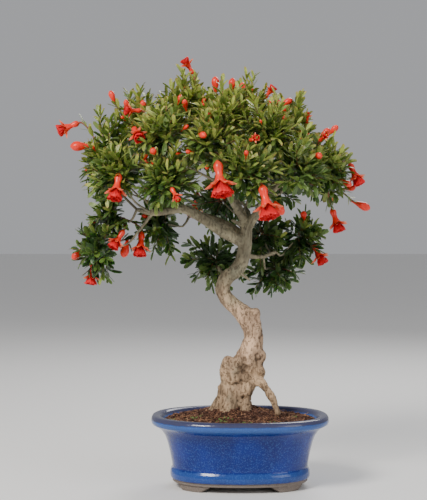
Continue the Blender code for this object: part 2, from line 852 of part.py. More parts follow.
def stalked_bud_mesh(start, base, tip):
    """A small bud on its stalk."""
    axis = (tip - base).normalized()
    length = (tip - base).length
    rings = [ring_round(start, base - start, STALK_RADIUS, 4)]
    rings.append(ring_round(base, (base - start).normalized() + axis, STALK_RADIUS, 4))
    for share, radius in BUD_PROFILE:
        rings.append(ring_round(base.lerp(tip, share), axis, radius * length, 4))
    bm = loft(rings)
    bm.faces.ensure_lookup_table()
    for face in [bm.faces[1], *bm.faces[2 + 4 :]]:
        face.material_index = 1
    return bm


def bud_mesh(base, tip, sides):
    """A closed bud of its own: a club with a blunt pointed tip."""
    length = (tip - base).length
    profile = ((0, 0.1),) + BUD_PROFILE
    return turned(base, tip, [(share, radius * length) for share, radius in profile], sides)


def flower_rings(kind, draw):
    """The places round a flower, ring by ring, as shares of its length: along it and out from it.

    The rings run up the waxy calyx to its pointed sepals, down into its mouth, and then out
    and back once for each layer of crumpled petals.
    """
    wide = HALF_OPEN if kind == "half" else 1
    layers = DOUBLE_PETALS if kind == "double" else SINGLE_PETALS
    rings = [[] for _ in range(CALYX_SPANS + 1 + 2 * len(layers))]
    for i in range(2 * SEPALS):
        is_sepal = i % 2 == 0
        places = [(0, 0.035), (0.17, 0.13), (0.38, 0.1)]
        if is_sepal:
            places += [(draw.uniform(0.84, 0.95), 0.36 * wide), (0.74, 0.16 * wide)]
        else:
            places += [(0.66, 0.19 * wide), (0.7, 0.14 * wide)]
        for layer, (share, radius) in enumerate(layers):
            is_petal = is_sepal == (layer % 2 == 1)
            reach = radius * wide * draw.uniform(0.88, 1.1)
            rise = draw.uniform(-0.03, 0.04)
            petal = [(share + rise, reach), (share + rise + 0.02, reach * 0.74)]
            cleft = [(share - 0.1, reach * 0.55), (share - 0.05, reach * 0.38)]
            places += petal if is_petal else cleft
        for ring, place in zip(rings, places):
            ring.append(place)
    return rings


def flower_mesh(kind, base, tip, draw):
    """One open flower, with its calyx and its petals."""
    axis = tip - base
    frame = facing(axis)
    rings = []
    for places in flower_rings(kind, draw):
        ring = []
        for i, (share, radius) in enumerate(places):
            turn = math.pi * (i + draw.uniform(-0.1, 0.1)) / SEPALS
            outward = frame @ Vector((math.cos(turn), math.sin(turn), 0)) * axis.length
            ring.append(base + axis * share + outward * radius)
        rings.append(ring)
    bm = loft(rings)
    bm.faces.ensure_lookup_table()
    first_petal = 2 + CALYX_SPANS * 2 * SEPALS
    for face in [bm.faces[1], *bm.faces[first_petal:]]:
        face.material_index = 1
    return bm


def place_flower(name, sprays, space):
    """Put a flower on the nearest spray that can reach it, and give back its mesh."""
    kind, base, tip = FLOWERS[name]
    base = Vector(base) * MM
    tip = Vector(tip) * MM
    bm = bud_mesh(base, tip, 6) if kind == "bud" else flower_mesh(kind, base, tip, random.Random(name))
    if not space.is_clear(bm, name):
        raise ValueError("no room for " + name)
    space.add(bm, name)
    for spray in sorted(sprays, key=lambda spray: (spray.centre - base).length):
        if spray.offer_stalk(base, tip, space):
            return bm
    raise ValueError("no stalk reaches " + name)


def place_bud(base, tip, sprays, space):
    """Fuse a bud to the nearest spray that can reach it."""
    base = Vector(base) * MM
    tip = Vector(tip) * MM
    for spray in sorted(sprays, key=lambda spray: (spray.centre - base).length):
        if spray.offer_bud(base, tip, space):
            return
    raise ValueError("no spray reaches a bud")


def make_crown(trunk, leaf, calyx, petal):
    """The sprays with their shoots and buds, and the flowers that they carry."""
    space = Clearance()
    wood = bmesh.new()
    wood.from_mesh(trunk.data)
    space.add(wood, "trunk")
    sprays = [Spray(name, number) for number, name in enumerate(SPRAYS)]
    for spray in sprays:
        spray.grow_core(space)
    flowers = {name: place_flower(name, sprays, space) for name in FLOWERS}
    for base, tip in BUDS:
        place_bud(base, tip, sprays, space)
    for spray in sprays:
        spray.grow_shoots(space)
    for spray in sprays:
        spray.build(leaf, calyx)
    for name, bm in flowers.items():
        finish_node(solid(name, bm, [calyx, petal]), name)


def main():
    """Build every piece of the tree and its pot."""
    clear_scene()
    glaze = material("cobalt_glaze", (0.012, 0.05, 0.36), 0.18, coat=0.6)
    plastic = material("black_mesh", (0.02, 0.02, 0.02), 0.6)
    earth = material("red_brown_soil", (0.11, 0.06, 0.04), 0.95)
    bark = material("pale_bark", (0.5, 0.39, 0.27), 0.85)
    leaf = material("leaf_green", (0.11, 0.24, 0.04), 0.4)
    calyx = material("waxy_coral_red", (0.8, 0.09, 0.04), 0.35)
    petal = material("crimson_petal", (0.75, 0.03, 0.03), 0.55)
    make_pot(glaze)
    make_screen(-1, "drain_screen_left", plastic)
    make_screen(1, "drain_screen_right", plastic)
    make_soil(earth, make_foot_wood(bark, extra=GAP + 0.1 * MM), [earth])
    trunk = make_trunk(bark)
    make_crown(trunk, leaf, calyx, petal)


main()
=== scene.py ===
"""A dwarf pomegranate bonsai in flower, in an oval glazed pot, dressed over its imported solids.

Metres, +Z up, front towards -Y. The origin is on the ground, under the middle of the tree.
"""

import json
import logging
import math
import random
from dataclasses import dataclass, field
from enum import Enum
from typing import Any, Iterable, Iterator, Sequence

import bmesh
import bpy
import numpy as np
from mathutils import Matrix, Vector, noise

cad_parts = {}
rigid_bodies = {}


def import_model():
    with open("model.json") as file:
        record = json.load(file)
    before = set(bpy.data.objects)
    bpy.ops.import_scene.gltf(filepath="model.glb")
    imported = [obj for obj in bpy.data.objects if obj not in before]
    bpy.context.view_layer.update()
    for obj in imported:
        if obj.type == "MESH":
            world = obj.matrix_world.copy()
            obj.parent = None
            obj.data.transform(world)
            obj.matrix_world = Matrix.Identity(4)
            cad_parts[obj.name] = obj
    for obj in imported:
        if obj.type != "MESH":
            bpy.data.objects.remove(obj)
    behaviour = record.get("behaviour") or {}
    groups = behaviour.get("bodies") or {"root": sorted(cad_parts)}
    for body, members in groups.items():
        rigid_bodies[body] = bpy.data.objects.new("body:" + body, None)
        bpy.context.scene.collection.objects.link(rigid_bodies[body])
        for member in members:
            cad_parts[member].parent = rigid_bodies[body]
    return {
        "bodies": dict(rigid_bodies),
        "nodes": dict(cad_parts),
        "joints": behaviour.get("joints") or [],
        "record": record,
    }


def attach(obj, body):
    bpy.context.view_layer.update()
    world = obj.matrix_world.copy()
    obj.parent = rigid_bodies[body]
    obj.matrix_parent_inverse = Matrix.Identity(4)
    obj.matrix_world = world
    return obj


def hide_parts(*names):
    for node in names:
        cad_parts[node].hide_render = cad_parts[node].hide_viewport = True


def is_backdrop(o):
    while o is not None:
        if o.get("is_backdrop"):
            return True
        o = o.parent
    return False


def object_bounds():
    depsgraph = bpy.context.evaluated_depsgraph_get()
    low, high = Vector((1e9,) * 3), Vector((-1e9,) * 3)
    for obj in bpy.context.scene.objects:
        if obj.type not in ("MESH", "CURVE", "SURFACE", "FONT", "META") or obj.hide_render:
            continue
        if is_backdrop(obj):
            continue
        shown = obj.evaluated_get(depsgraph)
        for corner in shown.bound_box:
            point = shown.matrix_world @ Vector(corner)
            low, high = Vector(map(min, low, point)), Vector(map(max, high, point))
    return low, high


log = logging.getLogger("bonsai")

MM = 0.001
GOLDEN_ANGLE = math.radians(137.508)
FULL_TURN = 6.28
Place = tuple[float, float, float]
Route = Sequence[tuple[float, float, float, float]]

# Wood: each route is a list of points with their radius, in mm
TRUNK = (
    (24, 0, 66, 12), (23, 0, 84, 18), (24, 0, 98, 16.5), (28, -1, 118, 15), (34, -2, 134, 16),
    (41, -3, 149, 14.5), (45.5, -3, 165, 11.5), (44.5, -2, 177, 11.5), (39, 1, 189, 12),
    (31, 3, 197, 10.5), (20, 5, 206, 9), (12, 6, 215, 8.5), (10, 6, 225, 8.6), (15, 4, 235, 8.6),
    (24, 1, 242, 8.6), (31, -1, 252, 8.2), (35, -1, 267, 8), (36, 0, 283, 8), (37, 0, 296, 6.5),
)
LIMBS = {
    "front_left": (
        (36, -1, 274, 6.5), (22, -8, 281, 6.4), (9, -14, 288, 6.2), (-7, -21, 299, 6),
        (-22, -27, 308, 5.6), (-35, -32, 313, 5), (-50, -37, 310, 4), (-67, -41, 308, 3.2),
        (-84, -44, 312, 2.4),
    ),
    "back_left": (
        (35, 0, 280, 5.5), (22, 16, 291, 5), (0, 32, 302, 4.2), (-26, 44, 310, 3.4), (-52, 50, 318, 2.4),
    ),
    "centre": (
        (37, 0, 290, 6), (34, 1, 304, 4.8), (27, 1, 318, 4), (16, -2, 338, 3.4), (10, -3, 360, 2.8),
        (8, -3, 382, 2.2),
    ),
    "right": (
        (37, 0, 290, 6), (44, -1, 301, 5.2), (52, -3, 312, 4.6), (60, -5, 326, 4), (74, -7, 340, 3.2),
        (90, -8, 350, 2.4),
    ),
    "front": ((34, 0, 300, 4.2), (27, -14, 311, 3.8), (20, -32, 321, 3.2), (14, -52, 330, 2.4)),
    "front_right": ((45, -1, 303, 4), (50, -18, 312, 3.4), (55, -38, 322, 2.8), (60, -56, 330, 2.2)),
    "back": ((36, 1, 276, 5), (39, 18, 290, 4.2), (41, 38, 304, 3.4), (38, 60, 316, 2.6)),
    "low_right": ((34, 0, 262, 3.6), (44, 10, 259, 3), (57, 21, 259, 2.6), (72, 32, 264, 2)),
    "low_left": ((14, 5, 236, 3), (9, 18, 242, 2.4), (6, 30, 248, 1.8)),
}
STUBS = (
    ((27, -2, 243, 2.6), (34, -12, 238, 2.2), (42, -16, 232, 2)),
    ((12, -14, 289, 2.6), (11, -16, 296, 2.2)),
    ((48, -10, 127, 3.4), (55, -18, 131, 3)),
    ((36, 0, 292, 3), (27, -5, 297, 2.4), (20, -9, 301, 1.8)),
    ((-66, -41, 308, 2), (-75, -45, 322, 1.6), (-90, -48, 329, 1.2)),
)
ROOTS = (
    ((20, -3, 112, 10), (11, -5, 97, 10), (2, -7, 80, 9)),
    ((25, -5, 112, 10), (18, -13, 97, 10), (14, -20, 79, 9)),
    ((32, -4, 110, 9), (33, -11, 96, 9), (36, -19, 78, 8)),
    ((42, -8, 124, 6), (55, -14, 116, 5.5), (65, -17, 102, 5), (73, -19, 82, 4)),
    ((32, 6, 112, 10), (34, 13, 97, 10), (37, 22, 79, 9)),
    ((22, 6, 110, 10), (14, 12, 95, 9), (8, 18, 80, 8)),
)
BURLS = (
    (17, -6, 137, 9), (24, -12, 124, 9), (38, -14, 112, 9), (53, -6, 146, 7), (52, -9, 131, 7),
    (30, 12, 128, 10), (48, -2, 195, 6),
)

# Crown: each spray has its centre, in mm, and the limb and the point of it that carry it
SPRAYS = {
    "top_left": ((-31, -10, 423), "centre", 5),
    "top_right": ((36, 4, 422), "centre", 5),
    "top_back": ((-2, 50, 412), "centre", 4),
    "top_front": ((12, -60, 406), "centre", 4),
    "shoulder_left": ((-84, 2, 402), "centre", 4),
    "shoulder_front_left": ((-56, -66, 388), "centre", 3),
    "shoulder_front": ((-4, -86, 380), "front", 3),
    "shoulder_front_right": ((60, -66, 390), "front_right", 3),
    "shoulder_right": ((86, 8, 398), "right", 4),
    "shoulder_back_right": ((56, 66, 392), "back", 3),
    "shoulder_back": ((0, 84, 378), "back", 3),
    "shoulder_back_left": ((-58, 62, 390), "back_left", 4),
    "side_left": ((-120, -12, 364), "front_left", 8),
    "side_front_left": ((-102, -62, 348), "front_left", 7),
    "front_left": ((-50, -90, 340), "front_left", 5),
    "front": ((32, -98, 346), "front", 3),
    "side_front_right": ((90, -72, 350), "front_right", 3),
    "side_right": ((124, -22, 352), "right", 5),
    "side_back_right": ((116, 40, 352), "right", 4),
    "back_right": ((72, 86, 344), "back", 3),
    "back": ((10, 98, 324), "back", 3),
    "back_left": ((-50, 92, 336), "back_left", 4),
    "side_back_left": ((-106, 58, 348), "back_left", 4),
    "under_left": ((-56, 14, 296), "back_left", 3),
    "hanging_left": ((-112, -16, 306), "front_left", 8),
    "lowest_left": ((-124, -26, 268), "front_left", 7),
    "low_right_near": ((54, 48, 284), "low_right", 3),
    "low_right_far": ((98, 38, 282), "low_right", 3),
    "low_right_bottom": ((70, 54, 246), "low_right", 2),
    "low_left": ((2, 54, 256), "low_left", 2),
}

# Each flower has how far it is open, its base and its tip, and each bud its base and its tip, in mm
FLOWERS = {
    "flower_top": ("open", (-22, -5, 464), (-33, -8, 481)),
    "flower_top_right": ("open", (57, 0, 437), (68, -2, 451)),
    "flower_upper_left": ("open", (-78, -45, 420), (-97, -50, 420)),
    "flower_far_left": ("open", (-150, -10, 410), (-174, -13, 400)),
    "flower_left": ("open", (-100, -92, 350), (-104, -104, 322)),
    "flower_centre": ("double", (4, -122, 362), (9, -134, 326)),
    "flower_right_centre": ("double", (50, -124, 337), (58, -134, 303)),
    "flower_low_left_near": ("open", (-98, -44, 290), (-110, -52, 270)),
    "flower_low_left_far": ("open", (-80, -20, 288), (-82, -28, 261)),
    "flower_lowest": ("open", (-134, -20, 254), (-137, -24, 229)),
    "flower_low_right": ("open", (132, -18, 314), (140, -24, 288)),
    "flower_back_pad": ("open", (114, 34, 274), (127, 28, 251)),
    "flower_right": ("open", (152, -12, 365), (163, -16, 340)),
    "flower_left_shoulder": ("open", (-86, -74, 400), (-78, -92, 386)),
    "flower_right_top": ("half", (104, -6, 408), (107, -10, 422)),
    "flower_right_edge": ("half", (116, -40, 387), (124, -54, 394)),
    "flower_front_right": ("half", (38, -106, 384), (46, -122, 386)),
    "flower_opening": ("half", (-44, -118, 334), (-36, -130, 320)),
    "flower_upper_right": ("half", (64, -25, 418), (72, -30, 434)),
    "flower_back_high": ("open", (20, 96, 408), (26, 116, 420)),
    "flower_back_low": ("double", (-20, 128, 336), (-24, 138, 306)),
    "flower_back_right": ("open", (96, 96, 362), (112, 112, 348)),
    "flower_back_left": ("open", (-86, 88, 366), (-100, 106, 362)),
    "bud_outermost_left": ("bud", (-140, -15, 383), (-160, -16, 383)),
    "bud_outermost_right": ("bud", (160, -6, 320), (176, -8, 313)),
}
BUDS = (
    ((2, -5, 446), (2, -6, 462)), ((20, 0, 446), (22, 0, 461)), ((33, 0, 442), (33, 0, 456)),
    ((77, 0, 430), (89, 0, 437)), ((131, -2, 398), (140, -4, 407)), ((120, -20, 394), (129, -24, 402)),
    ((109, -78, 370), (114, -90, 368)), ((77, -62, 404), (74, -68, 414)),
    ((-14, -108, 390), (-9, -120, 388)), ((-62, -100, 370), (-64, -112, 374)),
    ((-10, -84, 402), (-4, -90, 414)), ((-96, -15, 424), (-98, -17, 435)),
    ((-77, -20, 422), (-79, -22, 434)), ((-112, -5, 434), (-116, -6, 446)),
    ((-96, -28, 276), (-100, -31, 259)), ((-146, -15, 268), (-158, -18, 257)),
    ((142, -34, 344), (152, -38, 338)), ((148, -4, 336), (160, -6, 337)),
    ((103, 22, 300), (103, 16, 311)), ((-30, -44, 422), (-32, -50, 432)),
    ((66, -100, 318), (73, -108, 306)), ((-20, 80, 402), (-24, 92, 412)),
    ((40, 110, 364), (44, 122, 362)), ((-70, 104, 350), (-78, 114, 350)),
    ((-112, 76, 362), (-122, 84, 362)), ((132, 62, 356), (142, 70, 352)),
    ((30, 128, 322), (32, 136, 310)),
)


class FlowerKind(Enum):
    """How far a flower is open."""

    OPEN = "open"
    HALF = "half"
    DOUBLE = "double"
    BUD = "bud"


# Meshes


def vec(place: Sequence[float]) -> Vector:
    """A point given in mm.

    Args:
        place: its x, y and z, in mm.

    Returns:
        The point in metres.
    """
    return Vector(place[:3]) * MM


def facing(direction: Vector) -> Matrix:
    """A rotation that turns +Z to a direction.

    Args:
        direction: where +Z goes.

    Returns:
        The 3 by 3 rotation.
    """
    return direction.to_track_quat("Z", "Y").to_matrix()


def smooth_route(route: Route, step: float) -> tuple[list[Vector], list[float]]:
    """A smooth curve through a route.

    Args:
        route: points with a radius, all in mm.
        step: the spacing of the curve's points, in metres.

    Returns:
        The curve's points and the radius at each, in metres.
    """
    knots = np.array(route, float) * MM
    knots = np.vstack([2 * knots[0] - knots[1], knots, 2 * knots[-1] - knots[-2]])
    rows = []
    for a, b, c, d in zip(knots, knots[1:], knots[2:], knots[3:]):
        count = max(int(np.linalg.norm((c - b)[:3]) / step), 1)
        for t in np.arange(count) / count:
            bend = (2 * a - 5 * b + 4 * c - d) * t * t + (3 * b - a - 3 * c + d) * t**3
            rows.append(0.5 * (2 * b + (c - a) * t + bend))
    rows.append(knots[-2])
    return [Vector(row[:3]) for row in rows], [float(row[3]) for row in rows]


def join_rings(bm: bmesh.types.BMesh, rings: Sequence[Sequence[Place | Vector]]) -> list[list[Any]]:
    """A closed body through rings of equally many points, capped at both ends.

    Args:
        bm: the mesh that gets it.
        rings: the rings' points.

    Returns:
        The new vertices, ring by ring.
    """
    loops = [[bm.verts.new(point) for point in ring] for ring in rings]
    bm.faces.new(reversed(loops[0]))
    bm.faces.new(loops[-1])
    for low, high in zip(loops, loops[1:]):
        for i, vert in enumerate(low):
            j = (i + 1) % len(low)
            bm.faces.new((vert, low[j], high[j], high[i]))
    return loops


def tube(
    bm: bmesh.types.BMesh, places: Sequence[Vector], radii: Sequence[float], sides: int
) -> None:
    """A round stem along a line of points.

    Args:
        bm: the mesh that gets it.
        places: the line's points.
        radii: the stem's radius at each.
        sides: the number of its sides.
    """
    rings = []
    side = (places[1] - places[0]).orthogonal().normalized()
    for i, (place, radius) in enumerate(zip(places, radii)):
        ahead = places[min(i + 1, len(places) - 1)] - places[max(i - 1, 0)]
        ahead.normalize()
        side = (side - ahead * side.dot(ahead)).normalized()
        other = ahead.cross(side)
        turns = (2 * math.pi * k / sides for k in range(sides))
        rings.append([place + (side * math.cos(t) + other * math.sin(t)) * radius for t in turns])
    join_rings(bm, rings)


def to_mesh(name: str, bm: bmesh.types.BMesh) -> bpy.types.Mesh:
    """Turn a bmesh into a mesh with its faces outward.

    Args:
        name: the mesh's name.
        bm: the bmesh, which is freed.

    Returns:
        The mesh.
    """
    bmesh.ops.recalc_face_normals(bm, faces=bm.faces)
    mesh = bpy.data.meshes.new(name)
    bm.to_mesh(mesh)
    bm.free()
    return mesh


def applied(obj: bpy.types.Object) -> bpy.types.Mesh:
    """Apply an object's modifiers, and remove the object.

    Args:
        obj: the object.

    Returns:
        The mesh that its modifiers make.
    """
    graph = bpy.context.evaluated_depsgraph_get()
    mesh = bpy.data.meshes.new_from_object(obj.evaluated_get(graph))
    bpy.data.objects.remove(obj)
    return mesh


def shown(name: str, mesh: bpy.types.Mesh) -> bpy.types.Object:
    """Link a mesh to the scene as an object.

    Args:
        name: the object's name.
        mesh: its mesh.

    Returns:
        The object, at the origin.
    """
    obj = bpy.data.objects.new(name, mesh)
    bpy.context.scene.collection.objects.link(obj)
    return obj


def finish_piece(
    name: str,
    mesh: bpy.types.Mesh,
    finishes: Iterable[bpy.types.Material],
    nodes: Sequence[str] = (),
    smooth: float = 50,
) -> bpy.types.Object:
    """Make a finished piece of the tree out of a mesh.

    Args:
        name: the piece's name.
        mesh: its mesh, in place.
        finishes: its materials.
        nodes: the solids that it stands for.
        smooth: the angle in degrees past which an edge stays sharp.

    Returns:
        The piece, which rides on the root body.
    """
    mesh.materials.clear()
    for finish in finishes:
        mesh.materials.append(finish)
    mesh.shade_smooth()
    mesh.set_sharp_from_angle(angle=math.radians(smooth))
    piece = shown(name, mesh)
    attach(piece, "root")
    if nodes:
        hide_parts(*nodes)
    mesh.calc_loop_triangles()
    log.info("%s: %d triangles", name, len(mesh.loop_triangles))
    return piece


class Copies:
    """Many placed and tinted copies of a few small shapes, written as one mesh."""

    def __init__(self, shapes: Sequence[tuple[np.ndarray, np.ndarray, list[tuple[int, ...]]]]) -> None:
        """Start with no copies.

        Args:
            shapes: each shape's points, their UV places, and its faces.
        """
        self.shapes = shapes
        self.points: list[np.ndarray] = []
        self.uvs: list[np.ndarray] = []
        self.faces: list[tuple[int, ...]] = []
        self.tints: list[np.ndarray] = []
        self.count = 0

    def add(self, which: int, frame: Matrix, place: Vector, tint: float) -> None:
        """Place one copy.

        Args:
            which: the number of its shape.
            frame: its 3 by 3 frame, scale included.
            place: its root.
            tint: its colour, from 0 to 1.
        """
        points, uvs, faces = self.shapes[which]
        self.points.append(points @ np.array(frame).T + np.array(place))
        self.uvs.append(uvs)
        self.tints.append(np.full(len(points), tint))
        self.faces += [tuple(i + self.count for i in face) for face in faces]
        self.count += len(points)

    def mesh(self, name: str) -> bpy.types.Mesh:
        """Write the copies out.

        Args:
            name: the mesh's name.

        Returns:
            One mesh with a UV map named shape and an attribute named tint.
        """
        mesh = bpy.data.meshes.new(name)
        mesh.from_pydata(np.concatenate(self.points), [], self.faces)
        corners = np.zeros(len(mesh.loops), np.int32)
        mesh.loops.foreach_get("vertex_index", corners)
        uvs = np.concatenate(self.uvs)[corners]
        mesh.uv_layers.new(name="shape").data.foreach_set("uv", uvs.ravel())
        tint = mesh.attributes.new("tint", "FLOAT", "POINT")
        tint.data.foreach_set("value", np.concatenate(self.tints))
        return mesh


# Shader parts


def add_node(
    tree: bpy.types.NodeTree, kind: str, inputs: dict[Any, Any] | None = None, **settings: Any
) -> bpy.types.Node:
    """Add a node and set it up.

    Args:
        tree: the tree that gets it.
        kind: its type.
        inputs: a value or an output socket for each of its inputs.
        settings: its own properties.

    Returns:
        The node.
    """
    made = tree.nodes.new(kind)
    for name, value in settings.items():
        setattr(made, name, value)
    for key, value in (inputs or {}).items():
        if isinstance(value, bpy.types.NodeSocket):
            tree.links.new(value, made.inputs[key])
        else:
            made.inputs[key].default_value = value
    return made


def rgba(colour: Sequence[float]) -> tuple[float, float, float, float]:
    """A colour with full alpha.

    Args:
        colour: red, green and blue.

    Returns:
        The four values.
    """
    return (colour[0], colour[1], colour[2], 1.0)


def mixed(tree: bpy.types.NodeTree, share: Any, first: Any, second: Any, blend: str = "MIX") -> Any:
    """Mix two colours.

    Args:
        tree: the tree.
        share: how much of the second, a number or a socket.
        first: a colour or a socket.
        second: a colour or a socket.
        blend: the kind of mix.

    Returns:
        The mixed colour's socket.
    """
    inputs = {0: share, 6: first, 7: second}
    return add_node(tree, "ShaderNodeMix", inputs, data_type="RGBA", blend_type=blend).outputs[2]


def worked(tree: bpy.types.NodeTree, operation: str, *values: Any) -> Any:
    """A sum or another operation on numbers.

    Args:
        tree: the tree.
        operation: its name.
        values: numbers or sockets.

    Returns:
        The result's socket.
    """
    node = add_node(tree, "ShaderNodeMath", dict(enumerate(values)), operation=operation)
    return node.outputs[0]


def ranged(tree: bpy.types.NodeTree, value: Any, low: Any, high: Any) -> Any:
    """Where a value lies between two others, from 0 to 1.

    Args:
        tree: the tree.
        value: the value's socket.
        low: what gives 0.
        high: what gives 1.

    Returns:
        The result's socket.
    """
    inputs = {"Value": value, "From Min": low, "From Max": high}
    return add_node(tree, "ShaderNodeMapRange", inputs, interpolation_type="SMOOTHSTEP").outputs[0]


def group_part(tree: bpy.types.NodeTree, group: bpy.types.NodeTree, **values: Any) -> bpy.types.Node:
    """Put a shader group in a tree.

    Args:
        tree: the tree.
        group: the group.
        values: its inputs by name, with _ for a space.

    Returns:
        The group's node.
    """
    node = add_node(tree, "ShaderNodeGroup", node_tree=group)
    for name, value in values.items():
        socket = node.inputs[name.replace("_", " ")]
        if isinstance(value, bpy.types.NodeSocket):
            tree.links.new(value, socket)
        else:
            socket.default_value = value
    return node


def new_group(name: str, inputs: dict[str, float], outputs: Sequence[str]) -> bpy.types.NodeTree:
    """Start a shader group of numbers.

    Args:
        name: its name.
        inputs: its inputs' names and their defaults.
        outputs: its outputs' names.

    Returns:
        The group, with its input and output nodes.
    """
    group = bpy.data.node_groups.new(name, "ShaderNodeTree")
    for label, value in inputs.items():
        socket = group.interface.new_socket(name=label, in_out="INPUT", socket_type="NodeSocketFloat")
        socket.default_value = value
    for label in outputs:
        group.interface.new_socket(name=label, in_out="OUTPUT", socket_type="NodeSocketFloat")
    group.nodes.new("NodeGroupInput")
    group.nodes.new("NodeGroupOutput")
    return group


def make_mottle() -> bpy.types.NodeTree:
    """A group that gives soft blotches in the object's own space.

    Returns:
        The group. Its Mask is 1 in the blotches, and its Height is the plain noise.
    """
    inputs = {"Scale": 100.0, "Low": 0.45, "High": 0.6, "Stretch": 1.0, "Detail": 4.0}
    group = new_group("mottle", inputs, ("Mask", "Height"))
    given = group.nodes["Group Input"].outputs
    place = add_node(group, "ShaderNodeTexCoord").outputs["Object"]
    parts = add_node(group, "ShaderNodeSeparateXYZ", {0: place}).outputs
    tall = worked(group, "DIVIDE", parts[2], given["Stretch"])
    stretched = add_node(group, "ShaderNodeCombineXYZ", {0: parts[0], 1: parts[1], 2: tall}).outputs[0]
    inputs = {"Vector": stretched, "Scale": given["Scale"], "Detail": given["Detail"]}
    grain = add_node(group, "ShaderNodeTexNoise", inputs).outputs[0]
    made = group.nodes["Group Output"].inputs
    group.links.new(ranged(group, grain, given["Low"], given["High"]), made["Mask"])
    group.links.new(grain, made["Height"])
    return group


def make_band() -> bpy.types.NodeTree:
    """A group that marks the heights between two levels, with a ragged edge.

    Returns:
        The group. Its Mask is 1 between Bottom and Top.
    """
    inputs = {"Bottom": 0.0, "Top": 1.0, "Soft": 0.001, "Ragged": 0.001, "Scale": 60.0}
    group = new_group("height_band", inputs, ("Mask",))
    given = group.nodes["Group Input"].outputs
    place = add_node(group, "ShaderNodeTexCoord").outputs["Object"]
    height = add_node(group, "ShaderNodeSeparateXYZ", {0: place}).outputs[2]
    grain = add_node(group, "ShaderNodeTexNoise", {"Vector": place, "Scale": given["Scale"]}).outputs[0]
    wander = worked(group, "MULTIPLY", worked(group, "SUBTRACT", grain, 0.5), given["Ragged"])
    moved = worked(group, "ADD", height, wander)
    over = ranged(group, moved, worked(group, "SUBTRACT", given["Bottom"], given["Soft"]), given["Bottom"])
    under = ranged(group, moved, worked(group, "ADD", given["Top"], given["Soft"]), given["Top"])
    mask = worked(group, "MULTIPLY", over, under)
    group.links.new(mask, group.nodes["Group Output"].inputs["Mask"])
    return group


class Finish:
    """What every finish shares: a new material, its tree and its main shader."""

    def start(
        self, name: str, **values: Any
    ) -> tuple[bpy.types.Material, bpy.types.NodeTree, bpy.types.Node]:
        """Start a material.

        Args:
            name: its name.
            values: plain values of the Principled shader, with _ for a space.

        Returns:
            The material, its node tree and its Principled shader.
        """
        made = bpy.data.materials.new(name)
        made.use_nodes = True
        shader = made.node_tree.nodes["Principled BSDF"]
        for key, value in values.items():
            shader.inputs[key.replace("_", " ")].default_value = value
        return made, made.node_tree, shader

    def relief(self, tree: bpy.types.NodeTree, shader: bpy.types.Node, height: Any, depth: float) -> None:
        """Give the surface a fine relief.

        Args:
            tree: the material's tree.
            shader: its shader.
            height: the relief's height, from 0 to 1.
            depth: its depth in metres.
        """
        bump = add_node(tree, "ShaderNodeBump", {"Height": height, "Distance": depth, "Strength": 1.0})
        tree.links.new(bump.outputs[0], shader.inputs["Normal"])


@dataclass(frozen=True)
class GlazeFinish(Finish):
    """Cobalt glaze that breaks pale at the lip and the moulding, over bare clay at the bottom."""

    mottle: bpy.types.NodeTree
    band: bpy.types.NodeTree
    blue: Place = (0.001, 0.016, 0.19)
    deep: Place = (0.001, 0.01, 0.13)
    pale: Place = (0.06, 0.17, 0.45)
    rim: Place = (0.05, 0.05, 0.085)
    clay: Place = (0.24, 0.195, 0.165)

    def build(self) -> bpy.types.Material:
        """Make the material.

        Returns:
            The material.
        """
        made, tree, shader = self.start("cobalt_glaze_fired", Specular_IOR_Level=0.4)
        cloud = group_part(tree, self.mottle, Scale=28.0, Low=0.35, High=0.65).outputs["Mask"]
        fine = group_part(tree, self.mottle, Scale=760.0, Low=0.5, High=0.66, Detail=2.0).outputs["Mask"]
        colour = mixed(tree, cloud, rgba(self.blue), rgba(self.deep))
        speck = worked(tree, "MULTIPLY", fine, 0.3)
        colour = mixed(tree, speck, colour, rgba(self.pale))
        under_lip = self.banded(tree, 0.0705, 0.0755, 0.003, 0.002, 90.0)
        colour = mixed(tree, worked(tree, "MULTIPLY", under_lip, 0.45), colour, rgba(self.pale))
        moulding = self.banded(tree, 0.0125, 0.0215, 0.0015, 0.004, 120.0)
        colour = mixed(tree, worked(tree, "MULTIPLY", moulding, 0.22), colour, rgba(self.pale))
        rim = self.banded(tree, 0.0775, 0.09, 0.0015, 0.0022, 140.0)
        colour = mixed(tree, worked(tree, "MULTIPLY", rim, 0.85), colour, rgba(self.rim))
        bare = self.banded(tree, -0.01, 0.0108, 0.0004, 0.001, 150.0)
        grain = group_part(tree, self.mottle, Scale=1300.0, Low=0.3, High=0.7).outputs["Mask"]
        earth = mixed(tree, grain, rgba(self.clay), rgba([c * 0.55 for c in self.clay]))
        colour = mixed(tree, bare, colour, earth)
        tree.links.new(colour, shader.inputs["Base Color"])
        rough = worked(tree, "MULTIPLY_ADD", bare, 0.68, 0.16)
        tree.links.new(rough, shader.inputs["Roughness"])
        peel = group_part(tree, self.mottle, Scale=170.0, Detail=1.0).outputs["Height"]
        pits = worked(tree, "MULTIPLY_ADD", worked(tree, "MULTIPLY", grain, bare), 0.8, peel)
        self.relief(tree, shader, pits, 0.00022)
        return made

    def banded(
        self, tree: bpy.types.NodeTree, bottom: float, top: float, soft: float, ragged: float, scale: float
    ) -> Any:
        """Mark the heights between two levels.

        Args:
            tree: the tree.
            bottom: the lower level in metres.
            top: the upper level in metres.
            soft: how far the edge fades, in metres.
            ragged: how far the edge wanders, in metres.
            scale: the scale of its wandering.

        Returns:
            The mask's socket.
        """
        node = group_part(tree, self.band, Bottom=bottom, Top=top, Soft=soft, Ragged=ragged, Scale=scale)
        return node.outputs["Mask"]


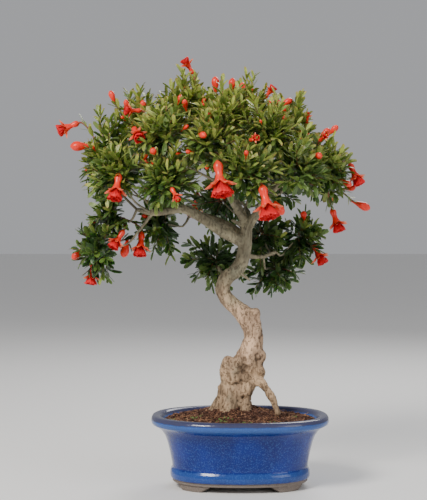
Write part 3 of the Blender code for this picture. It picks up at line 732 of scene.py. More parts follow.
@dataclass(frozen=True)
class BarkFinish(Finish):
    """Pale bark: rough and pitted on the trunk, smooth and grey-green on the limbs above, with painted shade
    where it sinks.
    """

    mottle: bpy.types.NodeTree
    band: bpy.types.NodeTree
    low: Place = (0.42, 0.29, 0.18)
    pink: Place = (0.56, 0.38, 0.25)
    high: Place = (0.3, 0.27, 0.18)
    # dark is the colour of the darkened cracks and pits and of the painted shade in the sunken bark.
    dark: Place = (0.07, 0.042, 0.024)
    lichen: Place = (0.2, 0.21, 0.15)

    def build(self) -> bpy.types.Material:
        """Make the material.

        Returns:
            The material.
        """
        made, tree, shader = self.start("pale_bark_flaked", Roughness=0.82, Specular_IOR_Level=0.3)
        # Painted shade of the sunken bark, from the mesh's layer.
        pit_shade = add_node(tree, "ShaderNodeAttribute", attribute_name="pit_shade").outputs["Fac"]
        heart = group_part(tree, self.band, Bottom=0.155, Top=0.2, Soft=0.03, Ragged=0.03).outputs[0]
        above = group_part(tree, self.band, Bottom=0.25, Top=2.0, Soft=0.07, Ragged=0.04).outputs[0]
        colour = mixed(tree, heart, rgba(self.low), rgba(self.pink))
        colour = mixed(tree, above, colour, rgba(self.high))
        patches = group_part(tree, self.mottle, Scale=55.0, Low=0.42, High=0.62, Stretch=2.0)
        tone = mixed(tree, patches.outputs["Mask"], (0.72, 0.7, 0.68, 1), (1.2, 1.17, 1.12, 1))
        colour = mixed(tree, 1.0, colour, tone, "MULTIPLY")
        green = group_part(tree, self.mottle, Scale=38.0, Low=0.5, High=0.68, Stretch=1.6).outputs["Mask"]
        colour = mixed(tree, worked(tree, "MULTIPLY", green, 0.4), colour, rgba(self.lichen))
        # The cracks and pits are darkened where the bump sinks: partly the bark's own darker furrows, partly
        # painted shade.
        cracks = group_part(tree, self.mottle, Scale=420.0, Low=0.46, High=0.36, Stretch=3.0, Detail=6.0)
        pits = group_part(tree, self.mottle, Scale=330.0, Low=0.4, High=0.3, Stretch=1.4)
        marks = worked(tree, "MAXIMUM", cracks.outputs["Mask"], pits.outputs["Mask"])
        fade = worked(tree, "MULTIPLY_ADD", above, -0.3, 0.5)
        colour = mixed(tree, worked(tree, "MULTIPLY", marks, fade), colour, rgba(self.dark))
        # Painted shade in the sunken bark.
        colour = mixed(tree, worked(tree, "MULTIPLY", pit_shade, 0.8), colour, rgba(self.dark))
        tree.links.new(colour, shader.inputs["Base Color"])
        fine = group_part(tree, self.mottle, Scale=700.0, Stretch=3.0, Detail=5.0).outputs["Height"]
        height = worked(tree, "SUBTRACT", fine, worked(tree, "MULTIPLY", marks, 1.6))
        self.relief(tree, shader, height, 0.0006)
        return made


@dataclass(frozen=True)
class SoilFinish(Finish):
    """Granular soil whose grains run from dark red-brown to tan by their tint."""

    mottle: bpy.types.NodeTree
    dark: Place = (0.03, 0.014, 0.01)
    brown: Place = (0.12, 0.055, 0.035)
    tan: Place = (0.3, 0.17, 0.1)

    def build(self) -> bpy.types.Material:
        """Make the material.

        Returns:
            The material.
        """
        made, tree, shader = self.start("granular_soil", Roughness=0.93, Specular_IOR_Level=0.25)
        tint = add_node(tree, "ShaderNodeAttribute", attribute_name="tint").outputs["Fac"]
        colour = mixed(tree, ranged(tree, tint, 0.0, 0.6), rgba(self.dark), rgba(self.brown))
        colour = mixed(tree, ranged(tree, tint, 0.86, 1.0), colour, rgba(self.tan))
        crumb = group_part(tree, self.mottle, Scale=1100.0, Low=0.3, High=0.7)
        tone = mixed(tree, crumb.outputs["Mask"], (0.55, 0.55, 0.55, 1), (1.25, 1.2, 1.15, 1))
        tree.links.new(mixed(tree, 1.0, colour, tone, "MULTIPLY"), shader.inputs["Base Color"])
        self.relief(tree, shader, crumb.outputs["Height"], 0.0008)
        return made


@dataclass(frozen=True)
class LeafFinish(Finish):
    """Small glossy leaves: yellow-green and pink-tipped when young, dark green when old, and also painted
    lighter on high, upward-facing leaves and darker in the painted shade of the low sprays.
    """

    mottle: bpy.types.NodeTree
    # The tint runs from old to young and also carries painted light: the young end is also the most lit
    # leaves' colour, the old end the most shaded ones'.
    old: Place = (0.022, 0.052, 0.014)
    grown: Place = (0.09, 0.15, 0.03)
    young: Place = (0.29, 0.34, 0.065)
    tip: Place = (0.4, 0.14, 0.08)

    def build(self) -> bpy.types.Material:
        """Make the material.

        Returns:
            The material.
        """
        made, tree, shader = self.start("pomegranate_leaf", Roughness=0.36, Specular_IOR_Level=0.45)
        shader.inputs["Subsurface Weight"].default_value = 0.12
        shader.inputs["Subsurface Radius"].default_value = (0.4, 0.8, 0.1)
        shader.inputs["Subsurface Scale"].default_value = 0.002
        tint = add_node(tree, "ShaderNodeAttribute", attribute_name="tint").outputs["Fac"]
        colour = mixed(tree, ranged(tree, tint, 0.0, 0.5), rgba(self.old), rgba(self.grown))
        colour = mixed(tree, ranged(tree, tint, 0.4, 1.0), colour, rgba(self.young))
        place = add_node(tree, "ShaderNodeUVMap", uv_map="shape").outputs[0]
        parts = add_node(tree, "ShaderNodeSeparateXYZ", {0: place}).outputs
        along = ranged(tree, parts[1], 0.72, 1.0)
        pink = worked(tree, "MULTIPLY", along, ranged(tree, tint, 0.45, 0.95))
        colour = mixed(tree, worked(tree, "MULTIPLY", pink, 0.55), colour, rgba(self.tip))
        off_rib = worked(tree, "ABSOLUTE", worked(tree, "SUBTRACT", parts[0], 0.5))
        rib = ranged(tree, off_rib, 0.075, 0.03)
        pale = mixed(tree, 1.0, colour, (1.5, 1.4, 1.5, 1), "MULTIPLY")
        colour = mixed(tree, worked(tree, "MULTIPLY", rib, 0.7), colour, pale)
        patch = group_part(tree, self.mottle, Scale=260.0, Low=0.35, High=0.65).outputs["Mask"]
        tone = mixed(tree, patch, (0.82, 0.82, 0.82, 1), (1.15, 1.15, 1.1, 1))
        tree.links.new(mixed(tree, 1.0, colour, tone, "MULTIPLY"), shader.inputs["Base Color"])
        slant = worked(tree, "MULTIPLY_ADD", off_rib, -1.1, parts[1])
        veins = worked(tree, "ABSOLUTE", worked(tree, "SINE", worked(tree, "MULTIPLY", slant, 34.0)))
        height = worked(tree, "SUBTRACT", worked(tree, "MULTIPLY", veins, 0.25), rib)
        self.relief(tree, shader, height, 0.00015)
        return made


@dataclass(frozen=True)
class ShootFinish(Finish):
    """Thin shoots and stalks, reddish brown with green in it."""

    mottle: bpy.types.NodeTree
    red: Place = (0.23, 0.06, 0.035)
    green: Place = (0.13, 0.12, 0.04)

    def build(self) -> bpy.types.Material:
        """Make the material.

        Returns:
            The material.
        """
        made, tree, shader = self.start("young_shoot", Roughness=0.55)
        patch = group_part(tree, self.mottle, Scale=90.0, Low=0.4, High=0.6)
        tree.links.new(
            mixed(tree, patch.outputs["Mask"], rgba(self.red), rgba(self.green)), shader.inputs["Base Color"]
        )
        self.relief(tree, shader, patch.outputs["Height"], 0.0002)
        return made


@dataclass(frozen=True)
class CalyxFinish(Finish):
    """The waxy coral calyx, paler and more orange towards the sepals' points."""

    mottle: bpy.types.NodeTree
    root: Place = (0.62, 0.05, 0.018)
    middle: Place = (0.8, 0.035, 0.014)
    point: Place = (0.88, 0.2, 0.09)

    def build(self) -> bpy.types.Material:
        """Make the material.

        Returns:
            The material.
        """
        made, tree, shader = self.start("waxy_calyx", Roughness=0.33, Specular_IOR_Level=0.4)
        shader.inputs["Subsurface Weight"].default_value = 0.15
        shader.inputs["Subsurface Radius"].default_value = (1.0, 0.25, 0.12)
        shader.inputs["Subsurface Scale"].default_value = 0.003
        along = add_node(tree, "ShaderNodeAttribute", attribute_name="along").outputs["Fac"]
        colour = mixed(tree, ranged(tree, along, 0.0, 0.3), rgba(self.root), rgba(self.middle))
        colour = mixed(tree, ranged(tree, along, 0.72, 1.0), colour, rgba(self.point))
        patch = group_part(tree, self.mottle, Scale=220.0, Low=0.3, High=0.7, Stretch=2.0)
        tone = mixed(tree, patch.outputs["Mask"], (0.8, 0.75, 0.75, 1), (1.08, 1.1, 1.1, 1))
        tree.links.new(mixed(tree, 1.0, colour, tone, "MULTIPLY"), shader.inputs["Base Color"])
        self.relief(tree, shader, patch.outputs["Height"], 0.0002)
        return made


@dataclass(frozen=True)
class PetalFinish(Finish):
    """Thin crumpled petals, crimson and dull, deeper towards their roots."""

    mottle: bpy.types.NodeTree
    deep: Place = (0.36, 0.004, 0.006)
    bright: Place = (0.74, 0.012, 0.016)

    def build(self) -> bpy.types.Material:
        """Make the material.

        Returns:
            The material.
        """
        made, tree, shader = self.start("crimson_petal_crumpled", Roughness=0.55, Specular_IOR_Level=0.25)
        shader.inputs["Subsurface Weight"].default_value = 0.2
        shader.inputs["Subsurface Radius"].default_value = (1.0, 0.15, 0.1)
        shader.inputs["Subsurface Scale"].default_value = 0.002
        along = add_node(tree, "ShaderNodeAttribute", attribute_name="along").outputs["Fac"]
        colour = mixed(tree, ranged(tree, along, 0.1, 0.9), rgba(self.deep), rgba(self.bright))
        tree.links.new(colour, shader.inputs["Base Color"])
        crinkle = group_part(tree, self.mottle, Scale=420.0, Detail=3.0).outputs["Height"]
        self.relief(tree, shader, crinkle, 0.0004)
        return made


@dataclass(frozen=True)
class PlainFinish(Finish):
    """A simple finish of two close tones, for small things."""

    mottle: bpy.types.NodeTree
    name: str
    first: Place
    second: Place
    roughness: float = 0.7
    scale: float = 300.0

    def build(self) -> bpy.types.Material:
        """Make the material.

        Returns:
            The material.
        """
        made, tree, shader = self.start(self.name, Roughness=self.roughness)
        patch = group_part(tree, self.mottle, Scale=self.scale, Low=0.35, High=0.65)
        colour = mixed(tree, patch.outputs["Mask"], rgba(self.first), rgba(self.second))
        tree.links.new(colour, shader.inputs["Base Color"])
        self.relief(tree, shader, patch.outputs["Height"], 0.0002)
        return made


# Pot


@dataclass
class Pot:
    """A squared oval pot with a rolled lip, a moulding, a bare clay foot ring and cloud feet."""

    centre: Vector = field(default_factory=lambda: vec((30, 0, 0)))
    length: float = 0.201
    depth: float = 0.156
    squareness: float = 2.35
    sides: int = 128
    hole_radius: float = 0.007
    hole_offset: float = 0.038
    hole_sides: int = 40
    drill_middle: float = 0.01
    drill_length: float = 0.03
    foot_angles: tuple[float, ...] = (43, 137, 223, 317)
    foot_half_angle: float = 27
    foot_steps: int = 32
    foot_flat: float = 0.4
    foot_rise: float = 0.0078
    foot_top: float = 0.0102
    foot_section: tuple[tuple[float, float], ...] = (
        (26.2, 1), (26.4, 0.25), (27.2, 0.04), (28.2, 0), (35, 0), (36.2, 0.1), (36.6, 1),
    )
    outside: tuple[tuple[float, float], ...] = (
        (26, 7), (24.8, 7.1), (24.1, 7.8), (24, 10.3), (22.6, 11), (21.8, 12.6), (21.5, 15.5),
        (21.8, 18.6), (22.7, 21), (23.7, 22.2), (24, 23.6), (23.5, 28), (22.5, 33), (21.4, 39),
        (20, 45), (18, 52.5), (15.5, 59), (11.6, 64.6), (8, 67.8), (5.2, 69.4), (3, 70.4),
        (1.2, 71.6), (0.3, 73.6), (0, 76), (0.5, 78.4), (1.7, 80.2), (3.4, 81), (6, 81.1),
    )
    inside: tuple[tuple[float, float], ...] = (
        (8.6, 81), (10.6, 80.2), (12, 78.6), (13.4, 76.5), (17, 71), (22, 65), (27, 60), (31, 22), (35, 16),
    )

    def point(self, angle: float, inset: float, height: float) -> Vector:
        """One point of the pot's outline.

        Args:
            angle: its angle from the middle.
            inset: how far it lies inside the lip, in mm.
            height: its height in metres.

        Returns:
            The point.
        """
        power = 2 / self.squareness
        along = math.copysign(abs(math.cos(angle)) ** power, math.cos(angle))
        across = math.copysign(abs(math.sin(angle)) ** power, math.sin(angle))
        x = (self.length / 2 - inset * MM) * along
        y = (self.depth / 2 - inset * MM) * across
        return self.centre + Vector((x, y, height))

    def ring(self, inset: float, height: float) -> list[Vector]:
        """A whole ring of the outline.

        Args:
            inset: how far it lies inside the lip, in mm.
            height: its height in metres.

        Returns:
            Its points.
        """
        turns = (2 * math.pi * (i + 0.5) / self.sides for i in range(self.sides))
        return [self.point(turn, inset, height) for turn in turns]

    def inner_inset(self, height: float) -> float:
        """How far the inner wall lies inside the lip.

        Args:
            height: the height in mm.

        Returns:
            The inset in mm.
        """
        levels = [z for _, z in reversed(self.inside)]
        return float(np.interp(height, levels, [inset for inset, _ in reversed(self.inside)]))

    def wall(self) -> bpy.types.Mesh:
        """The pot without its feet, with its drain holes cut.

        Returns:
            Its mesh.
        """
        bm = bmesh.new()
        join_rings(bm, [self.ring(inset, z * MM) for inset, z in self.outside + self.inside])
        body = shown("pot_wall", to_mesh("pot_wall", bm))
        cutter = bmesh.new()
        for side in (-1, 1):
            place = Matrix.Translation(self.centre + Vector((side * self.hole_offset, 0, self.drill_middle)))
            bmesh.ops.create_cone(
                cutter, cap_ends=True, segments=self.hole_sides, radius1=self.hole_radius,
                radius2=self.hole_radius, depth=self.drill_length, matrix=place,
            )
        drill = shown("drill", to_mesh("drill", cutter))
        cut = body.modifiers.new("holes", "BOOLEAN")
        cut.operation = "DIFFERENCE"
        cut.object = drill
        mesh = applied(body)
        bpy.data.objects.remove(drill)
        return mesh

    def foot(self, bm: bmesh.types.BMesh, angle: float) -> None:
        """One cloud foot: flat under its middle, with a soft rise at both ends.

        Args:
            bm: the mesh that gets it.
            angle: where it stands, in degrees.
        """
        rings = []
        for i in range(self.foot_steps + 1):
            place = 2 * i / self.foot_steps - 1
            turn = math.radians(angle + place * self.foot_half_angle)
            rise = max(0.0, abs(place) - self.foot_flat) / (1 - self.foot_flat)
            bottom = self.foot_rise * rise * rise * (3 - 2 * rise)
            ring = []
            for inset, share in self.foot_section:
                ring.append(self.point(turn, inset, bottom + (self.foot_top - bottom) * share))
            rings.append(ring)
        join_rings(bm, rings)

    def build(self, glaze: bpy.types.Material) -> None:
        """Make the pot.

        Args:
            glaze: its finish.
        """
        bm = bmesh.new()
        bm.from_mesh(self.wall())
        for angle in self.foot_angles:
            self.foot(bm, angle)
        finish_piece("pot_glazed", to_mesh("pot_glazed", bm), [glaze], ["pot"], 38)


@dataclass
class Soil:
    """The granular soil, mounded to the trunk, with loose grains, root fibres and moss."""

    pot: Pot
    edge: float = 0.075
    mound: float = 0.017
    reach: float = 0.048
    middle: Vector = field(default_factory=lambda: vec((24, 0, 0)))
    grains: int = 6800
    fibres: int = 170
    tufts: int = 150
    waves: tuple[tuple[float, float, float], ...] = ((160, 3, 0.0012), (600, 7, 0.0006))
    sunk: float = 0.0006
    bed_levels: tuple[float, ...] = (16.3, 22, 60, 75)
    bed_rings: int = 44
    grain_sizes: tuple[float, ...] = (0.0006, 0.0007, 0.0009, 0.0011, 0.0015)
    grain_shapes: int = 10
    clear_of_trunk: float = 0.015
    fibre_points: int = 7
    fibre_step: float = 0.0022
    fibre_radius: float = 0.00022
    fibre_sides: int = 4
    fibre_lift: tuple[float, float] = (0.0006, 0.0024)
    moss_patches: int = 9
    patch_length: float = 0.0045
    patch_depth: float = 0.003
    tuft_sizes: tuple[float, float] = (0.0008, 0.0018)
    bed_tint: float = 0.25
    draw: random.Random = field(default_factory=lambda: random.Random(41))

    def height(self, x: float, y: float) -> float:
        """The height of the surface.

        Args:
            x: the place along the pot.
            y: the place across it.

        Returns:
            The height in metres.
        """
        away = math.hypot(x - self.middle.x, y - self.middle.y)
        rough = 0.0
        for pitch, layer, depth in self.waves:
            rough += noise.noise(Vector((x * pitch, y * pitch, layer))) * depth
        return self.edge + self.mound * math.exp(-((away / self.reach) ** 2)) + rough - self.sunk

    def spot(self, spread: float = 0.97) -> Vector:
        """A random place on the surface.

        Args:
            spread: how near the edge it may come.

        Returns:
            The place.
        """
        inset = self.pot.inner_inset(self.edge / MM) + 0.4
        edge = self.pot.point(self.draw.uniform(0, 2 * math.pi), inset, 0)
        place = self.pot.centre.lerp(edge, math.sqrt(self.draw.random()) * spread)
        return Vector((place.x, place.y, self.height(place.x, place.y)))

    def bed(self, earth: bpy.types.Material) -> None:
        """The body of the soil.

        Args:
            earth: its finish.
        """
        bm = bmesh.new()
        rings = []
        for z in self.bed_levels:
            rings.append(self.pot.ring(self.pot.inner_inset(z) + 0.3, z * MM))
        edge = rings[-1]
        for share in np.linspace(0.985, 0.02, self.bed_rings):
            ring = [self.pot.centre + (point - self.pot.centre) * float(share) for point in edge]
            rings.append([Vector((p.x, p.y, self.height(p.x, p.y))) for p in ring])
        join_rings(bm, rings)
        mesh = to_mesh("soil_bed", bm)
        tint = mesh.attributes.new("tint", "FLOAT", "POINT")
        tint.data.foreach_set("value", np.full(len(mesh.vertices), self.bed_tint))
        finish_piece("soil_bed", mesh, [earth], ["soil"])

    def grain_shape(self) -> tuple[np.ndarray, np.ndarray, list[tuple[int, ...]]]:
        """An angular grain of unit radius.

        Returns:
            Its points, their UV places, and its faces.
        """
        bm = bmesh.new()
        bmesh.ops.create_icosphere(bm, subdivisions=1, radius=1)
        for vert in bm.verts:
            vert.co *= self.draw.uniform(0.7, 1.25)
        points = np.array([vert.co[:] for vert in bm.verts])
        faces = [tuple(vert.index for vert in face.verts) for face in bm.faces]
        bm.free()
        return points, np.zeros((len(points), 2)), faces

    def loose_grains(self, earth: bpy.types.Material) -> None:
        """Loose grains all over the surface but under the trunk.

        Args:
            earth: their finish.
        """
        loose = Copies([self.grain_shape() for _ in range(self.grain_shapes)])
        for _ in range(self.grains):
            place = self.spot()
            if math.hypot(place.x - self.middle.x, place.y - self.middle.y) < self.clear_of_trunk:
                continue
            size = self.draw.choice(self.grain_sizes) * self.draw.uniform(0.8, 1.2)
            turn = Matrix.Rotation(self.draw.uniform(0, FULL_TURN), 3, "Z")
            turn = turn @ Matrix.Rotation(self.draw.uniform(0, FULL_TURN), 3, "X")
            stretch = Matrix.Diagonal((size, size * self.draw.uniform(0.7, 1), size * 0.8))
            place.z += size * self.draw.uniform(0.1, 0.7)
            loose.add(self.draw.randrange(self.grain_shapes), turn @ stretch, place, self.draw.random())
        finish_piece("soil_grains", loose.mesh("soil_grains"), [earth], smooth=20)

    def root_fibres(self, fibre: bpy.types.Material) -> None:
        """Fine root fibres that lie on the soil.

        Args:
            fibre: their finish.
        """
        bm = bmesh.new()
        for _ in range(self.fibres):
            place = self.spot(0.95)
            turn = self.draw.uniform(0, FULL_TURN)
            line = []
            for _ in range(self.fibre_points):
                turn += self.draw.uniform(-0.6, 0.6)
                lift = self.draw.uniform(*self.fibre_lift)
                line.append(Vector((place.x, place.y, self.height(place.x, place.y) + lift)))
                place += Vector((math.cos(turn), math.sin(turn), 0)) * self.fibre_step
            tube(bm, line, [self.fibre_radius] * self.fibre_points, self.fibre_sides)
        finish_piece("soil_fibres", to_mesh("soil_fibres", bm), [fibre])

    def moss_tufts(self, moss: bpy.types.Material) -> None:
        """A little moss, in patches.

        Args:
            moss: its finish.
        """
        bm = bmesh.new()
        patches = [self.spot(0.98) for _ in range(self.moss_patches)]
        for _ in range(self.tufts):
            heart = self.draw.choice(patches)
            x = heart.x + self.draw.gauss(0, self.patch_length)
            y = heart.y + self.draw.gauss(0, self.patch_depth)
            place = Matrix.Translation((x, y, self.height(x, y)))
            size = self.draw.uniform(*self.tuft_sizes)
            bmesh.ops.create_icosphere(bm, subdivisions=1, radius=size, matrix=place)
        finish_piece("soil_moss", to_mesh("soil_moss", bm), [moss])

    def build(self, earth: bpy.types.Material, fibre: bpy.types.Material, moss: bpy.types.Material) -> None:
        """Make all of the soil.

        Args:
            earth: the grains' finish.
            fibre: the root fibres' finish.
            moss: the moss's finish.
        """
        self.bed(earth)
        self.loose_grains(earth)
        self.root_fibres(fibre)
        self.moss_tufts(moss)


# Wood


@dataclass(frozen=True)
class BarkRelief:
    """How the bark stands out: upright ridges, lumps, pits and flakes, deepest on the old wood, and the
    painted shade of its sunken places.
    """

    depth: float = 0.0013
    young_above: float = 0.3
    fade: float = 0.17
    least: float = 0.12
    ridge_pitch: Place = (150, 150, 38)
    lump_pitch: float = 70
    pit_pitch: float = 260
    flake_pitch: float = 520
    hollow: Place = (33, -20, 134)
    hollow_reach: float = 0.011
    hollow_pitch: float = 210

    def at(self, place: Vector) -> tuple[float, float]:
        """How far the bark stands out at a place.

        Args:
            place: the place.

        Returns:
            The distance in metres, and the painted shade of the place from 0 to 1, darker the deeper the bark
            sinks there.
        """
        old = min(max((self.young_above - place.z) / self.fade, self.least), 1.0)
        tall = Vector([length * pitch for length, pitch in zip(place, self.ridge_pitch)])
        ridge = 1 - abs(noise.noise(tall)) * 2.4
        lump = noise.noise(place * self.lump_pitch) * 1.3
        # The pits sink the bark, and through the total they also get painted shade.
        pit_shade = max(noise.noise(place * self.pit_pitch) - 0.2, 0) * 3
        flake = noise.noise(place * self.flake_pitch) * 0.35
        sunk = math.exp(-(((place - vec(self.hollow)).length / self.hollow_reach) ** 2))
        lump -= sunk * (1.6 + 2.5 * noise.noise(place * self.hollow_pitch))
        total = 0.7 * ridge - 0.5 + lump - pit_shade + flake
        # Painted shade: the deeper the bark sinks here, the darker its colour.
        dark = min(max(-0.62 * total - 0.12, 0), 1) * min(old + 0.25, 1)
        return total * self.depth * old, dark


@dataclass
class Wood:
    """The trunk with its roots and burls, the limbs, and the twigs out to the sprays."""

    voxel: float = 0.0011
    sides: int = 20
    core: float = 0.029
    foot: tuple[tuple[float, float, float, float], ...] = (
        (14, -4, 106, 11), (23, -6, 102, 15), (31, -4, 106, 11), (23, -3, 120, 15), (15, -4, 128, 10),
    )
    low_below: float = 0.235
    relaxed: int = 4
    relaxed_low: int = 16
    step: float = 0.003
    twig_step: float = 0.004
    twig_sides: int = 9
    relief: BarkRelief = BarkRelief()

    def twig(self, name: str) -> list[tuple[float, float, float, float]]:
        """The way of a twig from its limb to the middle of a spray.

        Args:
            name: the spray's name.

        Returns:
            Its points with their radius, in mm.
        """
        centre, limb, index = SPRAYS[name]
        start, middle = Vector(LIMBS[limb][index][:3]), Vector(centre)
        back = (start - middle).normalized() + Vector((0, 0, -0.4))
        end = middle + back.normalized() * self.core / MM
        bend = start.lerp(end, 0.6) - Vector((0, 0, 2))
        thick = min(LIMBS[limb][index][3] * 0.6, 2)
        return [(*start, thick), (*bend, 1.3), (*end, 1.1), (*end.lerp(middle, 0.8), 0.8)]

    def roots(self) -> Iterator[Route]:
        """The roots, each with a start of its own higher up inside the trunk.

        Yields:
            Each root's route.
        """
        for root in ROOTS:
            x, y, z, radius = root[0]
            yield ((0.4 * x + 14, y + 4, z + 20, radius * 0.6), *root)

    def relax(self, bm: bmesh.types.BMesh, verts: Sequence[bmesh.types.BMVert], rounds: int) -> None:
        """Smooth part of a mesh.

        Args:
            bm: the mesh.
            verts: the part.
            rounds: how many times.
        """
        axes = {"use_axis_x": True, "use_axis_y": True, "use_axis_z": True}
        for _ in range(rounds):
            bmesh.ops.smooth_vert(bm, verts=verts, factor=0.5, **axes)

    def build(self, bark: bpy.types.Material) -> None:
        """Make the wood.

        Args:
            bark: its finish.
        """
        bm = bmesh.new()
        for route in (TRUNK, *LIMBS.values(), *STUBS, *self.roots()):
            tube(bm, *smooth_route(route, self.step), self.sides)
        for x, y, z, radius in (*BURLS, *self.foot):
            place = Matrix.Translation(vec((x, y, z))) @ Matrix.Diagonal((1, 1, 1.25, 1))
            bmesh.ops.create_icosphere(bm, subdivisions=3, radius=radius * MM, matrix=place)
        body = shown("wood", to_mesh("wood", bm))
        remesh = body.modifiers.new("skin", "REMESH")
        remesh.mode = "VOXEL"
        remesh.voxel_size = self.voxel
        mesh = applied(body)
        bm = bmesh.new()
        bm.from_mesh(mesh)
        self.relax(bm, bm.verts[:], self.relaxed)
        self.relax(bm, [vert for vert in bm.verts if vert.co.z < self.low_below], self.relaxed_low)
        bm.normal_update()
        # Each vertex keeps its painted shade, darker where the bark sinks, in this layer.
        pit_shade = bm.verts.layers.float.new("pit_shade")
        for vert in bm.verts:
            move, vert[pit_shade] = self.relief.at(vert.co)
            vert.co += vert.normal * move
        finish_piece("trunk_wood", to_mesh("trunk_wood", bm), [bark], ["trunk"], 180)
        bm = bmesh.new()
        for name in SPRAYS:
            tube(bm, *smooth_route(self.twig(name), self.twig_step), self.twig_sides)
        finish_piece("twig_wood", to_mesh("twig_wood", bm), [bark], ["trunk"], 60)


# Crown


@dataclass
class Leaves:
    """The shapes that the leaves are copied from."""

    rows: tuple[tuple[float, float], ...] = ((0.14, 0.56), (0.5, 1.0), (0.86, 0.8))
    thickness: float = 0.012
    bends: tuple[float, ...] = (-0.05, 0.08, 0.2)
    folds: tuple[float, ...] = (0.03, 0.09)

    def shape(self, bend: float, fold: float) -> tuple[np.ndarray, np.ndarray, list[tuple[int, ...]]]:
        """A leaf of unit length and width along +X, folded along its rib and bent down.

        Args:
            bend: how far its tip hangs.
            fold: how far its edges rise.

        Returns:
            Its points, their UV places, and its faces.
        """
        points, uvs = [(0.0, 0.0, 0.0)], [(0.5, 0.0)]
        for x, wide in self.rows:
            drop = -bend * x * x
            for side, lift in ((0.5, fold), (0.0, self.thickness), (-0.5, fold), (0.0, -self.thickness)):
                points.append((x, side * wide, drop + lift * abs(wide)))
                uvs.append((0.5 + side, x))
        points.append((1.0, 0.0, -bend))
        uvs.append((0.5, 1.0))
        faces: list[tuple[int, ...]] = []
        for k in range(4):
            after = (k + 1) % 4
            faces.append((0, 1 + after, 1 + k))
            faces.append((13, 9 + k, 9 + after))
            for row in (1, 5):
                faces.append((row + k, row + after, row + 4 + after, row + 4 + k))
        return np.array(points), np.array(uvs), faces

    def shapes(self) -> list[tuple[np.ndarray, np.ndarray, list[tuple[int, ...]]]]:
        """All the shapes.

        Returns:
            Flat, bent and folded leaves.
        """
        return [self.shape(bend, fold) for bend in self.bends for fold in self.folds]


